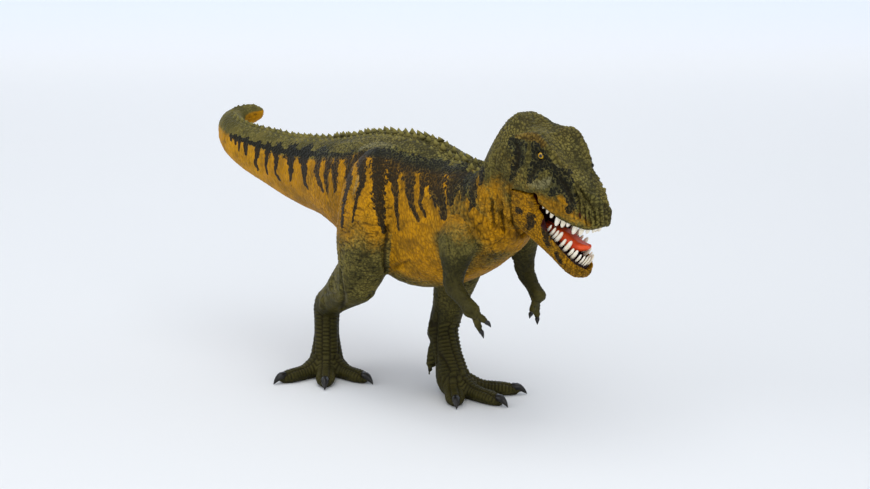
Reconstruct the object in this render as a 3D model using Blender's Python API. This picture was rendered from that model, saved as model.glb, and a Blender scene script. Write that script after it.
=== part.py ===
# Toy dinosaur figure: a walking meat-eater moulded in vinyl, with a hinged lower jaw.
# Metres, +X forward (snout), +Y to the animal's left, +Z up, soles on z = 0.
import math

import bmesh
import bpy
from mathutils import Matrix, Vector

# Driving sizes of the trunk, tail and neck
back_height = 0.0965
trunk_length = 0.100
trunk_depth = 0.054
trunk_width = 0.036
cavity_wall = 0.007
seat_floor = 0.004
tail_length = 0.082
tail_sweep = 0.0205
tail_rise = 0.015
tail_depth = 0.030
tail_width = 0.026
neck_reach = 0.018
neck_rise = 0.026
neck_depth = 0.034
neck_width = 0.030

# Driving sizes of the head, measured from the jaw hinge
hinge_ahead = 0.0072
hinge_aside = 0.0017
hinge_below = 0.0163
skull_reach = 0.0302
skull_height = 0.0240
skull_half_width = 0.0110
head_core_radius = 0.0058
head_core_half_width = 0.0077
head_turn = math.radians(6)
skull_pitch = math.radians(22)

# Driving sizes of the lower jaw
jaw_reach = 0.0330
jaw_depth = 0.0092
jaw_half_width = 0.0106
jaw_lobe_radius = 0.0080
jaw_lobe_thickness = 0.0028
jaw_floor_thickness = 0.0026
jaw_keel_share = 0.90
throat_share = 0.4
pin_grip_share = 0.5
bore_grip_share = 0.6
mouth_opening = math.radians(18)
hinge_pin_radius = 0.0010

# Teeth, gums and tongue
upper_tooth_length = 0.0069
upper_tooth_radius = 0.0007
lower_tooth_length = 0.0034
lower_tooth_radius = 0.0006
tooth_root = 0.0008
tooth_lean_share = 0.6
tooth_width_share = 0.45
palate_height = 0.0046
palate_thickness = 0.0018
gum_height = -0.0014
gum_thickness = 0.0016
gum_half_width = 0.0012
tongue_reach_share = 0.824
tongue_width_share = 0.321
tongue_height = 0.0008
tongue_lift = 0.0046
tongue_groove_share = 0.10
tongue_crown_share = 0.55
tongue_base_share = 0.80
tongue_rim_share = 0.08

# Legs and feet
hip_forward = 0.002
thigh_depth = 0.038
thigh_width = 0.022
shin_depth = 0.017
shin_width = 0.0125
ankle_depth = 0.0120
ankle_width = 0.0105
toe_height = 0.0078
toe_width = 0.0082
claw_length = 0.0058
claw_radius = 0.0014
hallux_drop = 0.0105
hallux_radius = 0.0021
claw_drop_share = 0.42
claw_rise_share = 0.44
claw_root_share = 0.72
toe_sole_share = 0.86
hallux_along_share = 0.45
hallux_inward_share = 0.20
hallux_back_share = 0.42
hallux_claw_share = 0.66
hallux_aim_shares = (0.10, 0.16)
leg_peg_radius = 0.0035
leg_peg_length = 0.0045

# Arms and hands
arm_length = 0.034
upper_arm_depth = 0.0150
upper_arm_width = 0.0090
forearm_depth = 0.0056
forearm_width = 0.0050
finger_length = 0.0105
finger_radius = 0.0013
finger_droop_share = 0.10
arm_peg_radius = 0.0018
arm_peg_length = 0.0030

# Fits, seams and the fineness of the sculpted surface
seam_gap = 0.0003
pin_clearance = 0.00008
plug_length = 0.006
plug_inset = 0.0055
locating_pin_radius = 0.0014
locating_pin_length = 0.0035
overrun = 0.002
coarse_voxel = 0.0007
fine_voxel = 0.0005

# Crest of scutes along the back
scute_height = 0.0013
scute_dip = 0.0003
scute_half_width = 0.0011
scute_root = 0.0009
scute_spread = 0.0017
scute_pitch = 0.0042

# Counts and the roundness of the trunk's sections
section_roundness = 0.92
spine_sides = 24
limb_sides = 20
tooth_sides = 5
round_sides = 24
pin_sides = 12
loft_steps = 2
row_steps = 4
crest_steps = 12

# Share of its triangles that each sculpted skin keeps
leg_keep_share = 0.026
arm_keep_share = 0.05
head_keep_share = 0.036
jaw_keep_share = 0.022
pocket_keep_share = 0.04

# How far lofts run past a seam, and where the crest and the hollow end, in rows of a table
look_ahead_share = 0.05
neck_seam_share = 0.15
neck_root_share = 0.4
trunk_tail_share = 0.5
trunk_neck_share = 0.85
crest_tip_share = 1.2
crest_gap_share = 0.1
crest_neck_share = 0.7
cavity_tail_share = 1.2
cavity_neck_share = 1.5

# Places on the trunk, as shares of its length, depth and width
hip_drop_share = 0.42
hip_spread_share = 0.36
hip_seat_share = 0.335
groin_drop_share = 0.36
shoulder_forward_share = 0.50
shoulder_drop_share = 0.545
shoulder_spread_share = 0.405
shoulder_seat_share = 0.29
hip_height = back_height - trunk_depth * hip_drop_share
mouth_floor = jaw_floor_thickness - jaw_depth * jaw_keel_share
tongue_reach = jaw_reach * tongue_reach_share
tongue_half_width = jaw_half_width * tongue_width_share

# Colour, roughness and metallic value of each finish
FINISHES = {
    "painted_vinyl_olive": ((0.105, 0.100, 0.035, 1), 0.55, 0),
    "painted_vinyl_ochre": ((0.420, 0.230, 0.040, 1), 0.55, 0),
    "painted_vinyl_yellow": ((0.520, 0.300, 0.045, 1), 0.55, 0),
    "ivory_tooth_paint": ((0.800, 0.740, 0.580, 1), 0.35, 0),
    "red_tongue_paint": ((0.560, 0.065, 0.030, 1), 0.40, 0),
    "plated_steel": ((0.550, 0.550, 0.560, 1), 0.35, 1),
}

# Locating pins of the trunk halves: place in the trunk's table, and the back or belly wall
LOCATING_PIN_SHARES = [(1.7, 1), (5.3, 1), (2.6, -1), (5.0, -1)]

# Trunk sections from the tail seam forward: forward of the hips, drop of the centre below
# the back, half height up, half height down and half width.
TRUNK_SHARES = [
    (-0.40, 0.420, 0.300, 0.275, 0.360),
    (-0.27, 0.430, 0.352, 0.335, 0.430),
    (-0.12, 0.450, 0.432, 0.440, 0.475),
    (0.03, 0.480, 0.480, 0.520, 0.490),
    (0.14, 0.505, 0.498, 0.525, 0.495),
    (0.26, 0.510, 0.475, 0.480, 0.490),
    (0.38, 0.480, 0.392, 0.405, 0.465),
    (0.48, 0.415, 0.355, 0.345, 0.430),
]

# Tail sections from the trunk back: reach, sweep to the left, rise, half heights, half width.
TAIL_SHARES = [
    (0.14, 0.00, 0.010, 0.490, 0.460, 0.430),
    (0.30, 0.00, 0.045, 0.440, 0.405, 0.370),
    (0.48, 0.00, 0.160, 0.388, 0.350, 0.315),
    (0.66, 0.00, 0.290, 0.335, 0.300, 0.275),
    (0.82, 0.06, 0.480, 0.280, 0.255, 0.250),
    (0.94, 0.27, 0.670, 0.225, 0.215, 0.220),
    (1.00, 0.56, 0.810, 0.178, 0.175, 0.185),
    (0.99, 0.82, 0.930, 0.135, 0.130, 0.145),
    (0.955, 0.98, 1.000, 0.095, 0.092, 0.105),
    (0.94, 1.03, 1.010, 0.040, 0.040, 0.045),
]

# Neck sections from the trunk up: reach, rise, half heights, half width.
NECK_SHARES = [
    (0.39, 0.17, 0.445, 0.485, 0.467),
    (0.64, 0.46, 0.285, 0.265, 0.405),
    (0.83, 0.73, 0.265, 0.235, 0.360),
    (1.00, 1.00, 0.235, 0.235, 0.310),
]

# Skull sections: share of the reach, then shares of half width and height for the crown,
# the brow ridge, the cheek, the lip and the underside.
SKULL_SHARES = [
    (-0.74, (0.00, 0.40), (0.26, 0.38), (0.44, 0.22), (0.42, -0.02), (0.00, -0.16)),
    (-0.64, (0.00, 0.80), (0.40, 0.76), (0.68, 0.42), (0.68, -0.02), (0.00, -0.20)),
    (-0.50, (0.00, 0.98), (0.50, 0.93), (0.88, 0.54), (0.88, 0.06), (0.00, -0.20)),
    (-0.35, (0.00, 1.01), (0.60, 0.985), (0.98, 0.60), (1.00, 0.12), (0.00, -0.18)),
    (-0.17, (0.00, 0.955), (0.76, 0.965), (1.00, 0.62), (1.02, 0.16), (0.00, -0.10)),
    (0.03, (0.00, 0.87), (0.85, 0.955), (0.90, 0.62), (0.98, 0.155), (0.00, 0.06)),
    (0.23, (0.00, 0.765), (0.76, 0.845), (0.79, 0.54), (0.91, 0.105), (0.00, 0.11)),
    (0.43, (0.00, 0.680), (0.60, 0.675), (0.68, 0.46), (0.83, 0.050), (0.00, 0.12)),
    (0.63, (0.00, 0.615), (0.51, 0.585), (0.60, 0.395), (0.72, 0.030), (0.00, 0.12)),
    (0.81, (0.00, 0.525), (0.42, 0.485), (0.52, 0.335), (0.61, 0.050), (0.00, 0.12)),
    (0.93, (0.00, 0.420), (0.30, 0.385), (0.41, 0.270), (0.47, 0.095), (0.00, 0.13)),
    (1.00, (0.00, 0.300), (0.14, 0.290), (0.19, 0.245), (0.20, 0.165), (0.00, 0.16)),
]

# Lower jaw sections in the jaw's own frame: share of the reach, then shares for the top,
# the rim, the side, the lower edge and the keel.
JAW_SHARES = [
    (-0.05, (0.00, 0.30), (0.93, 0.30), (1.01, -0.30), (0.90, -0.84), (0.00, -0.80)),
    (0.12, (0.00, 0.28), (0.90, 0.28), (0.98, -0.34), (0.86, -0.98), (0.00, -0.92)),
    (0.28, (0.00, 0.20), (0.80, 0.20), (0.87, -0.40), (0.70, -0.99), (0.00, -0.95)),
    (0.46, (0.00, 0.08), (0.69, 0.08), (0.76, -0.44), (0.58, -0.97), (0.00, -0.93)),
    (0.64, (0.00, 0.04), (0.60, 0.04), (0.67, -0.44), (0.49, -0.92), (0.00, -0.90)),
    (0.81, (0.00, 0.03), (0.50, 0.03), (0.57, -0.44), (0.40, -0.93), (0.00, -0.91)),
    (0.93, (0.00, 0.02), (0.34, 0.02), (0.40, -0.42), (0.28, -0.87), (0.00, -0.87)),
    (1.00, (0.00, -0.12), (0.13, -0.14), (0.17, -0.38), (0.12, -0.66), (0.00, -0.68)),
]

# Tooth rows from the mouth corner to the front: shares of the reach and of the half width.
UPPER_ROW_SHARES = [(0.17, 0.520), (0.28, 0.615), (0.45, 0.600), (0.62, 0.515), (0.78, 0.410),
                    (0.875, 0.270), (0.925, 0.0)]
LOWER_ROW_SHARES = [(0.24, 0.570), (0.40, 0.515), (0.56, 0.455), (0.72, 0.388), (0.84, 0.292),
                    (0.90, 0.170), (0.92, 0.0)]
UPPER_TOOTH_SHARES = [0.30, 0.38, 0.47, 0.60, 0.70, 0.95, 1.00, 0.88, 0.74, 0.93,
                      0.88, 0.70, 0.50, 0.36]
LOWER_TOOTH_SHARES = [0.50, 0.62, 0.74, 0.84, 1.00, 0.92, 0.96, 1.00, 0.90, 0.86,
                      0.78, 0.70, 0.64]

# Tongue sections: share of its reach, share of its half width, top and underside as
# shares of the lift.
TONGUE_SHARES = [(0.30, 0.75, 0.00, 0.00), (0.45, 0.98, 0.06, 0.00), (0.62, 1.00, 0.02, 0.00),
                 (0.76, 0.95, 0.08, 0.00), (0.86, 0.86, 0.30, 0.25), (0.94, 0.70, 0.72, 0.62),
                 (1.00, 0.40, 1.00, 0.96)]

# Knee, ankle and toe root of each leg: forward of the hip, out from the middle plane and
# up, as shares of the hip height.
LEG_JOINT_SHARES = {
    "right": ((-0.045, 0.243, 0.581), (-0.459, 0.142, 0.358), (-0.446, 0.155, 0.095)),
    "left": ((0.247, 0.205, 0.700), (0.113, 0.170, 0.300), (0.248, 0.110, 0.095)),
}

# Leg sections: share along the bone, then fore, aft and side half sizes.
THIGH_SHARES = [(-0.60, 0.08, 0.08, 0.10), (-0.50, 0.21, 0.20, 0.22), (-0.34, 0.34, 0.31, 0.33),
                (-0.16, 0.43, 0.38, 0.39),
                (0.02, 0.47, 0.41, 0.43), (0.30, 0.45, 0.39, 0.46), (0.60, 0.35, 0.34, 0.44),
                (0.85, 0.25, 0.25, 0.38), (1.05, 0.17, 0.20, 0.31), (1.18, 0.07, 0.08, 0.14)]
SHIN_SHARES = [(-0.12, 0.30, 0.34, 0.36), (0.00, 0.46, 0.56, 0.56), (0.22, 0.42, 0.76, 0.56),
               (0.48, 0.35, 0.62, 0.50), (0.76, 0.30, 0.43, 0.42), (1.00, 0.30, 0.38, 0.41),
               (1.10, 0.16, 0.22, 0.24)]
ANKLE_SHARES = [(-0.26, 0.22, 0.30, 0.26), (-0.14, 0.36, 0.48, 0.42), (0.02, 0.42, 0.60, 0.48),
                (0.22, 0.41, 0.50, 0.47), (0.55, 0.41, 0.42, 0.46), (0.85, 0.48, 0.46, 0.54),
                (1.10, 0.52, 0.48, 0.60), (1.34, 0.40, 0.38, 0.46)]

# Claws and the small rear toe: share of the length and share of the radius.
CLAW_SHARES = [(-0.35, 0.70), (0.00, 1.00), (0.35, 0.86), (0.70, 0.52), (1.00, 0.10)]
HALLUX_SHARES = [(-0.35, 0.50), (0.00, 1.00), (0.40, 0.90), (0.62, 0.86), (0.74, 0.50)]

# Teeth: share of the length and share of the radius.
TOOTH_SHARES = [(0.00, 1.00), (0.50, 0.92), (0.78, 0.60), (1.00, 0.10)]

# Feet: reach from the toe root to the claw tip and bearing from straight ahead, to the
# left, for the outer, middle and inner toe.
TOE_REACH = {"right": (0.0252, 0.0240, 0.0246), "left": (0.0280, 0.0283, 0.0224)}
TOE_BEARING = {
    "right": (math.radians(-90), math.radians(-39), math.radians(8)),
    "left": (math.radians(45.5), math.radians(5.4), math.radians(-36)),
}
# Toe sections: share of the toe without its claw, half height and half width shares.
TOE_SHARES = [(0.00, 0.66, 0.52), (0.22, 0.56, 0.50), (0.45, 0.37, 0.40), (0.66, 0.33, 0.42),
              (0.82, 0.31, 0.43), (0.94, 0.26, 0.34), (1.03, 0.14, 0.18)]

# Arm joints as offsets from the shoulder in shares of the arm length: forward, outward, up.
ARM_JOINT_SHARES = {
    "right": ((0.02, 0.085, -0.490), (0.24, 0.090, -0.640), (0.31, 0.085, -0.690)),
    "left": ((-0.01, 0.085, -0.490), (0.15, 0.080, -0.665), (0.19, 0.070, -0.745)),
}
UPPER_ARM_SHARES = [(-0.45, 0.16, 0.18, 0.30), (-0.22, 0.40, 0.44, 0.52), (0.05, 0.50, 0.52, 0.58),
                    (0.40, 0.42, 0.44, 0.54), (0.75, 0.27, 0.28, 0.40), (1.00, 0.23, 0.25, 0.36),
                    (1.14, 0.10, 0.12, 0.16)]
FOREARM_SHARES = [(-0.20, 0.44, 0.50, 0.50), (0.10, 0.62, 0.66, 0.60), (0.55, 0.52, 0.54, 0.54),
                  (1.00, 0.44, 0.44, 0.50), (1.40, 0.50, 0.50, 0.64), (1.60, 0.30, 0.30, 0.40)]
# Directions of the two fingers of each hand: forward, outward, up.
FINGER_AIM_SHARES = {
    "right": ((0.90, -0.06, -0.34), (0.50, -0.10, -0.84)),
    "left": ((0.54, -0.45, -0.71), (0.48, -0.76, -0.42)),
}
# Finger sections: share of the length and share of the radius; the claw bends down.
FINGER_SHARES = [(-0.25, 0.60), (0.00, 1.10), (0.30, 0.95), (0.58, 1.00), (0.70, 0.72), (0.86, 0.46),
                 (1.00, 0.12)]


def clear_scene():
    for item in list(bpy.data.objects):
        bpy.data.objects.remove(item, do_unlink=True)


def finish(name):
    """The named finish as a Principled material, made once."""
    if name in bpy.data.materials:
        return bpy.data.materials[name]
    colour, roughness, metallic = FINISHES[name]
    material = bpy.data.materials.new(name)
    material.use_nodes = True
    shader = material.node_tree.nodes["Principled BSDF"]
    shader.inputs["Base Color"].default_value = colour
    shader.inputs["Roughness"].default_value = roughness
    shader.inputs["Metallic"].default_value = metallic
    material.diffuse_color = colour
    return material


def make_object(name, meshes, finish_name=None, matrix=Matrix.Identity(4)):
    """One object from a list of bmeshes, smooth shaded, or a hidden guide without a finish."""
    mesh = bpy.data.meshes.new(name)
    whole = bmesh.new()
    for part in meshes:
        piece = bpy.data.meshes.new("piece")
        part.to_mesh(piece)
        whole.from_mesh(piece)
        bpy.data.meshes.remove(piece)
        part.free()
    bmesh.ops.recalc_face_normals(whole, faces=whole.faces)
    whole.to_mesh(mesh)
    whole.free()
    item = bpy.data.objects.new(name, mesh)
    bpy.context.scene.collection.objects.link(item)
    item.matrix_world = matrix
    if finish_name:
        mesh.materials.append(finish(finish_name))
        mesh.shade_smooth()
    else:
        item.hide_render = True
        item.display_type = "WIRE"
    return item


def blend_rows(rows, position):
    """Row of a table at a fractional position, on a smooth curve through its rows."""
    last = len(rows) - 1
    index = max(0, min(int(position), last - 1))
    t = position - index
    start = rows[index]
    end = rows[index + 1]
    before = rows[index - 1] if index else [2 * a - b for a, b in zip(start, end)]
    after = rows[index + 2] if index + 2 <= last else [2 * b - a for a, b in zip(start, end)]
    return [
        b + 0.5 * t * (c - a + t * (2 * a - 5 * b + 4 * c - d + t * (3 * (b - c) + d - a)))
        for a, b, c, d in zip(before, start, end, after)
    ]


def sample_rows(rows, start, end, steps=loft_steps):
    """Rows read at even positions between two places of a table."""
    count = max(1, round((end - start) * steps))
    return [blend_rows(rows, start + (end - start) * k / count) for k in range(count + 1)]


def skin_rings(rings):
    """Closed mesh over rings of points that share one point count."""
    mesh = bmesh.new()
    loops = [[mesh.verts.new(point) for point in ring] for ring in rings]
    for near, far in zip(loops, loops[1:]):
        for k in range(len(near)):
            after = (k + 1) % len(near)
            mesh.faces.new((near[k], near[after], far[after], far[k]))
    mesh.faces.new(loops[0])
    mesh.faces.new(reversed(loops[-1]))
    return mesh


def path_loft(rows, sides, first_axis):
    """Loft of rows (x, y, z, fore half, aft half, side half) along the path they make.

    The fore and aft half sizes lie along first_axis, laid square to the path.
    """
    centres = [Vector(row[:3]) for row in rows]
    rings = []
    for k, row in enumerate(rows):
        ahead = centres[min(k + 1, len(rows) - 1)]
        behind = centres[max(k - 1, 0)]
        tangent = (ahead - behind).normalized()
        fore = (first_axis - tangent * first_axis.dot(tangent)).normalized()
        side = tangent.cross(fore)
        ring = []
        for n in range(sides):
            angle = 2 * math.pi * n / sides
            c, s = math.cos(angle), math.sin(angle)
            along = math.copysign(abs(c) ** section_roundness, c)
            across = math.copysign(abs(s) ** section_roundness, s)
            reach = row[3] if c > 0 else row[4]
            ring.append(centres[k] + fore * (reach * along) + side * (row[5] * across))
        rings.append(ring)
    return skin_rings(rings)


def profile_ring(forward, half_profile, steps=loft_steps + 1):
    """Closed ring in a plane across X from a half profile, mirrored about the middle plane."""
    points = [list(point) for point in half_profile]
    first = [-points[1][0], points[1][1]]
    last = [-points[-2][0], points[-2][1]]
    padded = [first] + points + [last]
    half = sample_rows(padded, 1, len(points), steps)
    left = [Vector((forward, width, height)) for width, height in half]
    right = [Vector((forward, -point.y, point.z)) for point in reversed(left[1:-1])]
    return left + right


def profile_loft(table, reach, half_width, height):
    """Loft of a table of half profiles given as shares."""
    flat = [[row[0]] + [value for point in row[1:] for value in point] for row in table]
    rings = []
    for row in sample_rows(flat, 0, len(flat) - 1):
        profile = [(row[k] * half_width, row[k + 1] * height) for k in range(1, len(row), 2)]
        profile[0] = (0, profile[0][1])
        profile[-1] = (0, profile[-1][1])
        rings.append(profile_ring(row[0] * reach, profile))
    return skin_rings(rings)


def cylinder(start, end, radius, sides=round_sides):
    """Round bar between two points."""
    axis = (end - start).normalized()
    across = axis.orthogonal().normalized()
    other = axis.cross(across)
    rings = []
    for centre in (start, end):
        angles = [2 * math.pi * k / sides for k in range(sides)]
        rings.append([centre + across * (radius * math.cos(a)) + other * (radius * math.sin(a))
                      for a in angles])
    return skin_rings(rings)


def box(low, high):
    mesh = bmesh.new()
    middle = (Vector(low) + Vector(high)) / 2
    size = Vector(high) - Vector(low)
    place = Matrix.Translation(middle) @ Matrix.Diagonal(size).to_4x4()
    bmesh.ops.create_cube(mesh, size=1, matrix=place)
    return mesh


def sculpt(item, voxel, keep, smoothing=6):
    """Turn joined lofts into one smooth skin and keep a share of its triangles."""
    remesh = item.modifiers.new("one_skin", "REMESH")
    remesh.mode = "VOXEL"
    remesh.voxel_size = voxel
    if smoothing:
        smooth = item.modifiers.new("smooth_skin", "SMOOTH")
        smooth.factor = 0.5
        smooth.iterations = smoothing
    thin = item.modifiers.new("fewer_faces", "DECIMATE")
    thin.ratio = keep


def cut(item, cutter, operation="DIFFERENCE"):
    modifier = item.modifiers.new(cutter.name, "BOOLEAN")
    modifier.operation = operation
    modifier.solver = "EXACT"
    modifier.object = cutter


def join(item, addition):
    cut(item, addition, "UNION")


def cleared(item, clearance):
    """Hidden copy of an object as it stands, grown by a clearance, to cut its neighbour."""
    bpy.context.view_layer.update()
    graph = bpy.context.evaluated_depsgraph_get()
    shape = item.evaluated_get(graph)
    mesh = bmesh.new()
    mesh.from_mesh(shape.to_mesh())
    shape.to_mesh_clear()
    mesh.normal_update()
    moved = [(vert, vert.co + vert.normal * (clearance * vert.calc_shell_factor()))
             for vert in mesh.verts]
    for vert, place in moved:
        vert.co = place
    return make_object(item.name + "_clearance", [mesh], matrix=item.matrix_world.copy())


def spine_rows():
    """Absolute rows of the whole spine from the tail tip to the top of the neck."""
    trunk = [[forward * trunk_length, 0, back_height - drop * trunk_depth,
              up * trunk_depth, down * trunk_depth, side * trunk_width]
             for forward, drop, up, down, side in TRUNK_SHARES]
    root = trunk[0]
    tail = [[root[0] - back * tail_length, sweep * tail_sweep, root[2] + rise * tail_rise,
             up * tail_depth, down * tail_depth, side * tail_width]
            for back, sweep, rise, up, down, side in TAIL_SHARES]
    top = trunk[-1]
    neck = [[top[0] + reach * neck_reach, 0, top[2] + rise * neck_rise,
             up * neck_depth, down * neck_depth, side * neck_width]
            for reach, rise, up, down, side in NECK_SHARES]
    return tail[::-1] + trunk + neck


UP = Vector((0, 0, 1))
FORWARD = Vector((1, 0, 0))
LEFT = Vector((0, 1, 0))
SIDES = {"right": -1, "left": 1}

SPINE = spine_rows()
TAIL_SEAM = len(TAIL_SHARES)
NECK_SEAM = TAIL_SEAM + len(TRUNK_SHARES) + neck_seam_share
NECK_TOP = Vector(SPINE[-1][:3])
HINGE = NECK_TOP + Vector((hinge_ahead, hinge_aside, -hinge_below))
SKULL_FRAME = (Matrix.Translation(HINGE) @ Matrix.Rotation(head_turn, 4, "Z")
               @ Matrix.Rotation(skull_pitch, 4, "Y"))
JAW_FRAME = SKULL_FRAME @ Matrix.Rotation(mouth_opening, 4, "Y")


def spine_place(position):
    """Centre and direction of the spine at a table position."""
    here = Vector(blend_rows(SPINE, position)[:3])
    ahead = Vector(blend_rows(SPINE, position + look_ahead_share)[:3])
    return here, (ahead - here).normalized()


def spine_frame(position):
    """Matrix at a spine section with X along the spine and Z towards the back."""
    centre, direction = spine_place(position)
    fore = (UP - direction * UP.dot(direction)).normalized()
    side = fore.cross(direction)
    turn = Matrix((direction, side, fore)).transposed().to_4x4()
    return Matrix.Translation(centre) @ turn


def spine_loft(start, end):
    return path_loft(sample_rows(SPINE, start, end), spine_sides, UP)


def seam_plug(position, direction, length, inset):
    """Short boss of the spine's section, drawn in, that crosses a seam."""
    row = blend_rows(SPINE, position)
    frame = spine_frame(position)
    rows = []
    for along in (-overrun, length):
        centre = frame @ Vector((along * direction, 0, 0))
        rows.append(list(centre) + [row[3] - inset, row[4] - inset, row[5] - inset])
    return path_loft(rows, spine_sides, UP)


def half_space(frame, direction):
    """Large block on one side of a plane through a frame's origin, across its X axis."""
    reach = trunk_length
    low = Vector((0, -reach, -reach))
    high = Vector((reach, reach, reach))
    block = box(low, high)
    if direction < 0:
        bmesh.ops.transform(block, matrix=Matrix.Rotation(math.pi, 4, "Z"), verts=block.verts)
    return make_object("seam_block", [block], matrix=frame)


def shifted(frame, distance):
    return frame @ Matrix.Translation(Vector((distance, 0, 0)))


def build_tail():
    end = TAIL_SEAM
    frame = spine_frame(end)
    item = make_object("tail", [spine_loft(0, end + trunk_tail_share)], "painted_vinyl_ochre")
    crest = scute_crest(crest_tip_share, end - crest_gap_share, 0)
    join(item, make_object("tail_scutes", [crest]))
    cut(item, half_space(shifted(frame, -seam_gap), 1))
    join(item, make_object("tail_plug", [seam_plug(end, 1, plug_length, plug_inset)]))
    return item


def bone(start, end, table, depth, width, front):
    """Loft around a bone from a table of sections."""
    rows = []
    for along, fore, aft, side in sample_rows(table, 0, len(table) - 1):
        centre = start.lerp(end, along)
        rows.append(list(centre) + [fore * depth, aft * depth, side * width])
    return path_loft(rows, limb_sides, front)


def claw(base, aim, length, radius):
    """Curved claw that bends down to its tip."""
    rows = []
    for share, size in CLAW_SHARES:
        drop = length * claw_drop_share * share * abs(share)
        centre = base + aim * (length * share) - UP * drop
        rows.append(list(centre) + [radius * size] * 3)
    return path_loft(sample_rows(rows, 0, len(rows) - 1), pin_sides, UP)


def toe(root, reach, bearing):
    """Toe with its pads, from the ball of the foot to the claw tip."""
    aim = Vector((math.cos(bearing), math.sin(bearing), 0))
    flesh = reach - claw_length * claw_root_share
    rows = []
    for along, height, width in sample_rows(TOE_SHARES, 0, len(TOE_SHARES) - 1):
        half = height * toe_height
        centre = Vector((root.x, root.y, half * toe_sole_share)) + aim * (along * flesh)
        rows.append(list(centre) + [half, half, width * toe_width])
    tip = Vector((root.x, root.y, 0)) + aim * flesh
    tip.z = claw_length * claw_rise_share
    return [path_loft(rows, limb_sides, UP),
            claw(tip, aim, claw_length * claw_root_share, claw_radius)]


def leg_joints(side):
    sign = SIDES[side]
    hip = Vector((hip_forward, sign * trunk_width * hip_spread_share, hip_height))
    places = [Vector((hip_forward + forward * hip_height, sign * out * hip_height, up * hip_height))
              for forward, out, up in LEG_JOINT_SHARES[side]]
    return [hip] + places


def build_leg(side):
    sign = SIDES[side]
    hip, knee, ankle, root = leg_joints(side)
    middle = TOE_BEARING[side][1]
    heading = Vector((math.cos(middle), math.sin(middle), 0))
    inward = Vector((-heading.y, heading.x, 0)) * -sign
    shapes = [
        bone(hip, knee, THIGH_SHARES, thigh_depth, thigh_width, FORWARD),
        bone(knee, ankle, SHIN_SHARES, shin_depth, shin_width, (FORWARD + heading).normalized()),
        bone(ankle, root, ANKLE_SHARES, ankle_depth, ankle_width, heading),
    ]
    for reach, bearing in zip(TOE_REACH[side], TOE_BEARING[side]):
        shapes += toe(root, reach, bearing)
    spur = (ankle.lerp(root, hallux_along_share) + inward * (ankle_width * hallux_inward_share)
            - heading * (ankle_depth * hallux_back_share))
    inward_aim, back_aim = hallux_aim_shares
    aim = (inward * inward_aim - heading * back_aim - UP).normalized()
    rows = [list(spur + aim * (hallux_drop * share)) + [hallux_radius * size] * 3
            for share, size in HALLUX_SHARES]
    shapes.append(path_loft(sample_rows(rows, 0, len(rows) - 1), pin_sides, heading))
    shapes.append(claw(spur + aim * (hallux_drop * hallux_claw_share), aim,
                       claw_length * hallux_claw_share, claw_radius * claw_root_share))
    item = make_object("leg_" + side, shapes, "painted_vinyl_olive")
    sculpt(item, fine_voxel, leg_keep_share)

    pocket = seat_limb(item, hip, sign, trunk_width * hip_seat_share,
                       hip_height - trunk_depth * groin_drop_share, leg_peg_radius, leg_peg_length)
    ground = box((-trunk_length, -trunk_length, -trunk_depth), (trunk_length, trunk_length, 0))
    cut(item, make_object("ground_" + side, [ground]))
    return item, pocket


def build_arm(side):
    sign = SIDES[side]
    shoulder = Vector((trunk_length * shoulder_forward_share,
                       sign * trunk_width * shoulder_spread_share,
                       back_height - trunk_depth * shoulder_drop_share))
    elbow, wrist, knuckle = [
        shoulder + Vector((forward, sign * out, up)) * arm_length
        for forward, out, up in ARM_JOINT_SHARES[side]]
    shapes = [
        bone(shoulder, elbow, UPPER_ARM_SHARES, upper_arm_depth, upper_arm_width, FORWARD),
        bone(elbow, wrist, FOREARM_SHARES, forearm_depth, forearm_width, UP + FORWARD),
    ]
    for forward, out, up in FINGER_AIM_SHARES[side]:
        aim = Vector((forward, sign * out, up)).normalized()
        rows = []
        for share, size in FINGER_SHARES:
            droop = finger_length * finger_droop_share * share ** 3
            centre = knuckle + aim * (finger_length * share) - UP * droop
            rows.append(list(centre) + [finger_radius * size] * 3)
        shapes.append(path_loft(sample_rows(rows, 0, len(rows) - 1), pin_sides, FORWARD + UP))
    item = make_object("arm_" + side, shapes, "painted_vinyl_olive")
    sculpt(item, fine_voxel, arm_keep_share, 3)
    pocket = seat_limb(item, shoulder, sign, trunk_width * shoulder_seat_share, 0,
                       arm_peg_radius, arm_peg_length)
    return item, pocket


def seat_limb(item, centre, sign, seat, low, radius, length):
    """Cut a limb flat against its seat in the trunk and give it a peg.

    Returns the pocket for the trunk, which is the same shape grown by the seam gap.
    """
    pocket = cleared(item, seam_gap)
    sculpt(pocket, fine_voxel, pocket_keep_share, 0)
    for shape, clearance in ((item, 0), (pocket, seam_gap)):
        flat = seat - clearance
        block = box((-trunk_length, -flat, low + clearance if low else 0),
                    (trunk_length, flat, back_height + trunk_depth))
        cut(shape, make_object(shape.name + "_seat", [block]))
        outer = Vector((centre.x, sign * (seat + overrun), centre.z))
        inner = Vector((centre.x, sign * (flat - length), centre.z))
        join(shape, make_object(shape.name + "_peg", [cylinder(outer, inner, radius + clearance)]))
    return pocket


def locating_pins(radius, length):
    """Round pins across the seam of the trunk halves, in its back and belly walls."""
    pins = []
    for place, wall in LOCATING_PIN_SHARES:
        row = blend_rows(SPINE, TAIL_SEAM + place)
        half = row[3] if wall > 0 else row[4]
        centre = spine_frame(TAIL_SEAM + place) @ Vector((0, 0, wall * (half - cavity_wall / 2)))
        pins.append(cylinder(centre - LEFT * overrun, centre + LEFT * length, radius, pin_sides))
    return pins


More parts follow.
